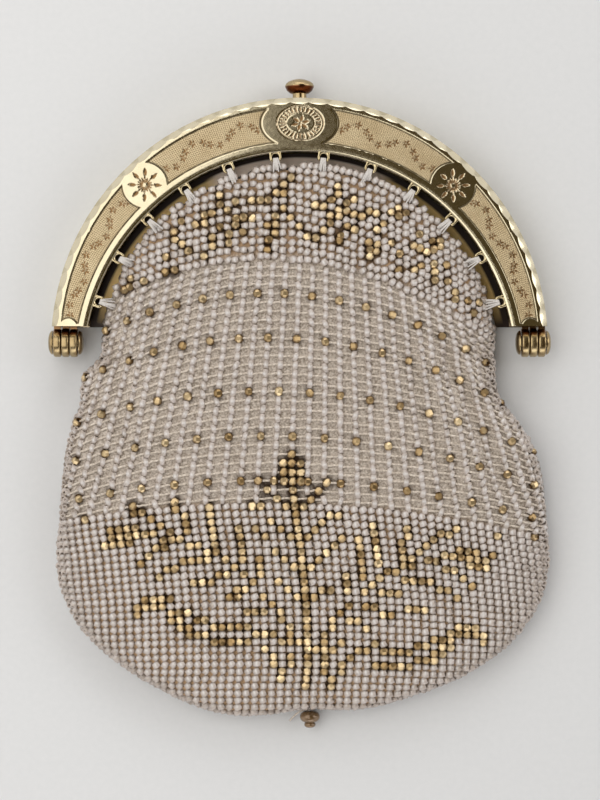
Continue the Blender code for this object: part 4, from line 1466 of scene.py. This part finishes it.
# %% Turned parts
def turned(profile, sides=40):
    """A profile of (along, radius) spun about X. Its first and last points lie on the axis."""
    profile = np.asarray(profile, float)
    ring = spun(profile[1:-1, 0], profile[1:-1, 1], sides).swapaxes(0, 1)
    start, end = (profile[0, 0], 0, 0), (profile[-1, 0], 0, 0)
    points = np.concatenate([[start], ring.reshape(-1, 3), [end]])
    quads = grid_quads(len(profile) - 2, sides, wrap_columns=True) + 1
    turn = np.arange(sides)
    after = (turn + 1) % sides
    last = 1 + (len(profile) - 3) * sides
    first_fan = np.stack([np.zeros(sides, int), after + 1, turn + 1], axis=1)
    last_fan = np.stack([np.full(sides, len(points) - 1), turn + last, after + last], axis=1)
    return points, [quads, np.concatenate([first_fan, last_fan])]


def disc(start, end, radius, hole, rounding, sides=44):
    """A ring about X whose outer corners are quarter circles."""
    rise = np.linspace(0, np.pi / 2, 5)
    corner = rounding * np.stack([1 - np.sin(rise), np.cos(rise) - 1], axis=1)
    first = corner[::-1] + (start, radius)
    last = corner * (-1, 1) + (end, radius)
    along, out = np.concatenate([[(start, hole)], first, last, [(end, hole)]]).T
    quads = grid_quads(sides, len(along), wrap_columns=True, wrap_rows=True)
    return spun(along, out, sides).reshape(-1, 3), [quads]


def block(low, high):
    """A plain bar between two corners."""
    low, high = np.minimum(low, high), np.maximum(low, high)
    corners = np.array([(x, y, z) for x in (0, 1) for y in (0, 1) for z in (0, 1)])
    quads = np.array([(0, 1, 3, 2), (4, 6, 7, 5), (0, 4, 5, 1), (2, 3, 7, 6), (0, 2, 6, 4), (1, 5, 7, 3)])
    return low + corners * (high - low), [quads]


def joined(shapes):
    """Several shapes as one: their points end to end, and their faces counted on."""
    points, faces, count = [], {}, 0
    for shape_points, shape_faces in shapes:
        for face in face_out(shape_points, shape_faces):
            faces.setdefault(face.shape[1], []).append(face + count)
        points.append(shape_points)
        count += len(shape_points)
    return np.concatenate(points), [np.concatenate(group) for group in faces.values()]


print("turned shapes ready")

# %% Knuckles and pins
# Each knuckle as its start and end along the hinge, and by how much it swells past both.
STATIONS = ((43.5, 44.7), (42.0, 43.2), (40.5, 41.7))
KNUCKLE_SWELL = 0.09
KNUCKLE_RADIUS, KNUCKLE_BORE, KNUCKLE_ROUNDING = 2.62, 1.3, 0.32
HINGE_CENTRE = np.array((0.0, 0.7, MID_HEIGHT))


def add_knuckles(name, side, stations, node):
    """Knuckles of one jaw at both ends, with their tongues and the jaw's end walls."""
    shapes = []
    for start, end in stations:
        for hand in (-1, 1):
            low, high = sorted((hand * start, hand * end))
            ends = (low - KNUCKLE_SWELL, high + KNUCKLE_SWELL)
            points, faces = disc(*ends, KNUCKLE_RADIUS, KNUCKLE_BORE, KNUCKLE_ROUNDING)
            shapes.append((points + HINGE_CENTRE, faces))
            tongue = (hand * start, 2.2, MID_HEIGHT + side * 0.4), (hand * end, 4.3, MID_HEIGHT + side * 0.9)
            shapes.append(block(*tongue))
    for hand in (-1, 1):
        wall = (hand * 38.8, 3.8, MID_HEIGHT + side * 0.16), (hand * 44.4, 4.75, MID_HEIGHT + side * 3.3)
        shapes.append(block(*wall))
    points, faces = joined(shapes)
    # Painted shade: the knuckles darken towards the jaw, where they meet it.
    shade_near_jaw = 0.85 * np.clip((points[:, 1] - 1.7) / 1.2, 0, 1)
    made = add_piece(name, points, faces, aged.material, layers={"stain_and_shade": shade_near_jaw}, crease=38)
    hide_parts(node)


add_knuckles("front_knuckles", 1, STATIONS[0::2], "front_frame")
add_knuckles("back_knuckles", -1, STATIONS[1:2], "back_frame")


def dome(base, tip, radius, steps=9):
    """A head that is widest at its base and rounds off to its tip."""
    rise = np.linspace(0, np.pi / 2, steps)
    return np.stack([base + (tip - base) * np.sin(rise), radius * np.cos(rise) ** 0.75], axis=1)


def add_pin(name, hand):
    """A thin shank between two domed heads, turned in one."""
    outer, inner = dome(45.0, 45.8, 2.2), dome(40.2, 39.4, 2.2)
    profile = np.concatenate([inner[::-1], [(40.2, 1.0), (45.0, 1.0)], outer])
    profile[:, 0] *= hand
    points, faces = turned(profile)
    points = points + HINGE_CENTRE
    made = add_piece(name + "_polished", points, face_out(points, faces), aged.material, crease=50)
    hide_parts(name)


add_pin("hinge_pin_left", -1)
add_pin("hinge_pin_right", 1)
print(len(STATIONS), "knuckles and a pin at each end")

# %% Push button
# The profile runs along the stem from the collar inside the frame to the middle of the head.
button_profile = [(42.9, 0), (42.9, 1.9), (43.7, 1.9), (43.7, 1.25), (46.05, 1.25), (46.2, 1.75)]
button_profile += [(46.65, 2.3), (47.25, 2.6), (47.5, 2.65), (47.62, 2.6), (47.95, 2.45), (48.3, 2.0)]
button_profile += [(48.58, 1.3), (48.74, 0.6), (48.8, 0)]
points, faces = turned(button_profile, 48)
# Painted shade: the underside of the button's head is dark red-brown.
underside = (points[:, 0] > 46.1) & (points[:, 0] < 47.4)
points = points[:, [1, 0, 2]] + (0, 0, MID_HEIGHT)
faces = face_out(points, faces)
underside_shade = {"stain_and_shade": underside.astype(float)}
button = add_piece("push_button", points, faces, aged.material, body="button", layers=underside_shade, crease=36)
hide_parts("clasp_button")
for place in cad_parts["clasp_catch"].material_slots:
    place.material = brass.material
print("push button", triangle_count(button), "triangles")

# %% Drop bead
drop_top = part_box("drop_bead")[1].y / MM - FRAME_CENTRE_Y
turn = np.radians(np.linspace(0, 142, 14))
bead = np.stack([1.15 * (1 - np.cos(turn)), 1.85 * np.sin(turn) ** 0.7], axis=1)
turn = np.radians(np.linspace(48, 180, 10))
tip = np.stack([2.0 + 0.6 * (1 - np.cos(turn)), 1.05 * np.sin(turn).clip(0) ** 0.7], axis=1)
points, faces = turned(np.concatenate([bead, tip]), 36)
points = np.stack([points[:, 1] + 1.9, drop_top - points[:, 0], points[:, 2] + 1.85], axis=1)
bronze = Finish("bronze_lustre_glass", roughness=0.16, coat_weight=0.6, metallic=0.35)
swirl = bronze.noise(700.0, 3.0)
bronze.set("Base Color", bronze.mix(swirl, (0.09, 0.045, 0.02, 1), (0.30, 0.19, 0.09, 1)))
bronze.bump(swirl, 0.06)
drop = add_piece("bronze_drop", points, face_out(points, faces), bronze.material, crease=50)
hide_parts("drop_bead")
print("drop bead", triangle_count(drop), "triangles")

# %% Thread of the drop bead
# Two ends of thread: one holds the drop bead, and the other is its loose tail. Each is a curve drawn
# by three points, pulled towards the middle one.
DROP_THREAD_RADIUS = 0.16
ends = np.array([
    [(1.8, drop_top + 1.6, 2.3), (1.2, drop_top + 0.9, 2.6), (1.9, drop_top - 0.3, 2.0)],
    [(1.2, drop_top + 0.3, 2.2), (-0.4, drop_top - 0.1, 2.3), (-1.8, drop_top - 2.1, 0.6)],
])
share = np.linspace(0, 1, 12)[None, :, None]
paths = ends[:, None, 0] * (1 - share) ** 2 + ends[:, None, 1] * 2 * share * (1 - share)
paths = paths + ends[:, None, 2] * share**2
points, faces = tubes(paths, np.broadcast_to((0.0, 0.0, 1.0), paths.shape), DROP_THREAD_RADIUS)
tail = add_piece("drop_thread", points, faces, strand.material)
print("drop thread", triangle_count(tail), "triangles")
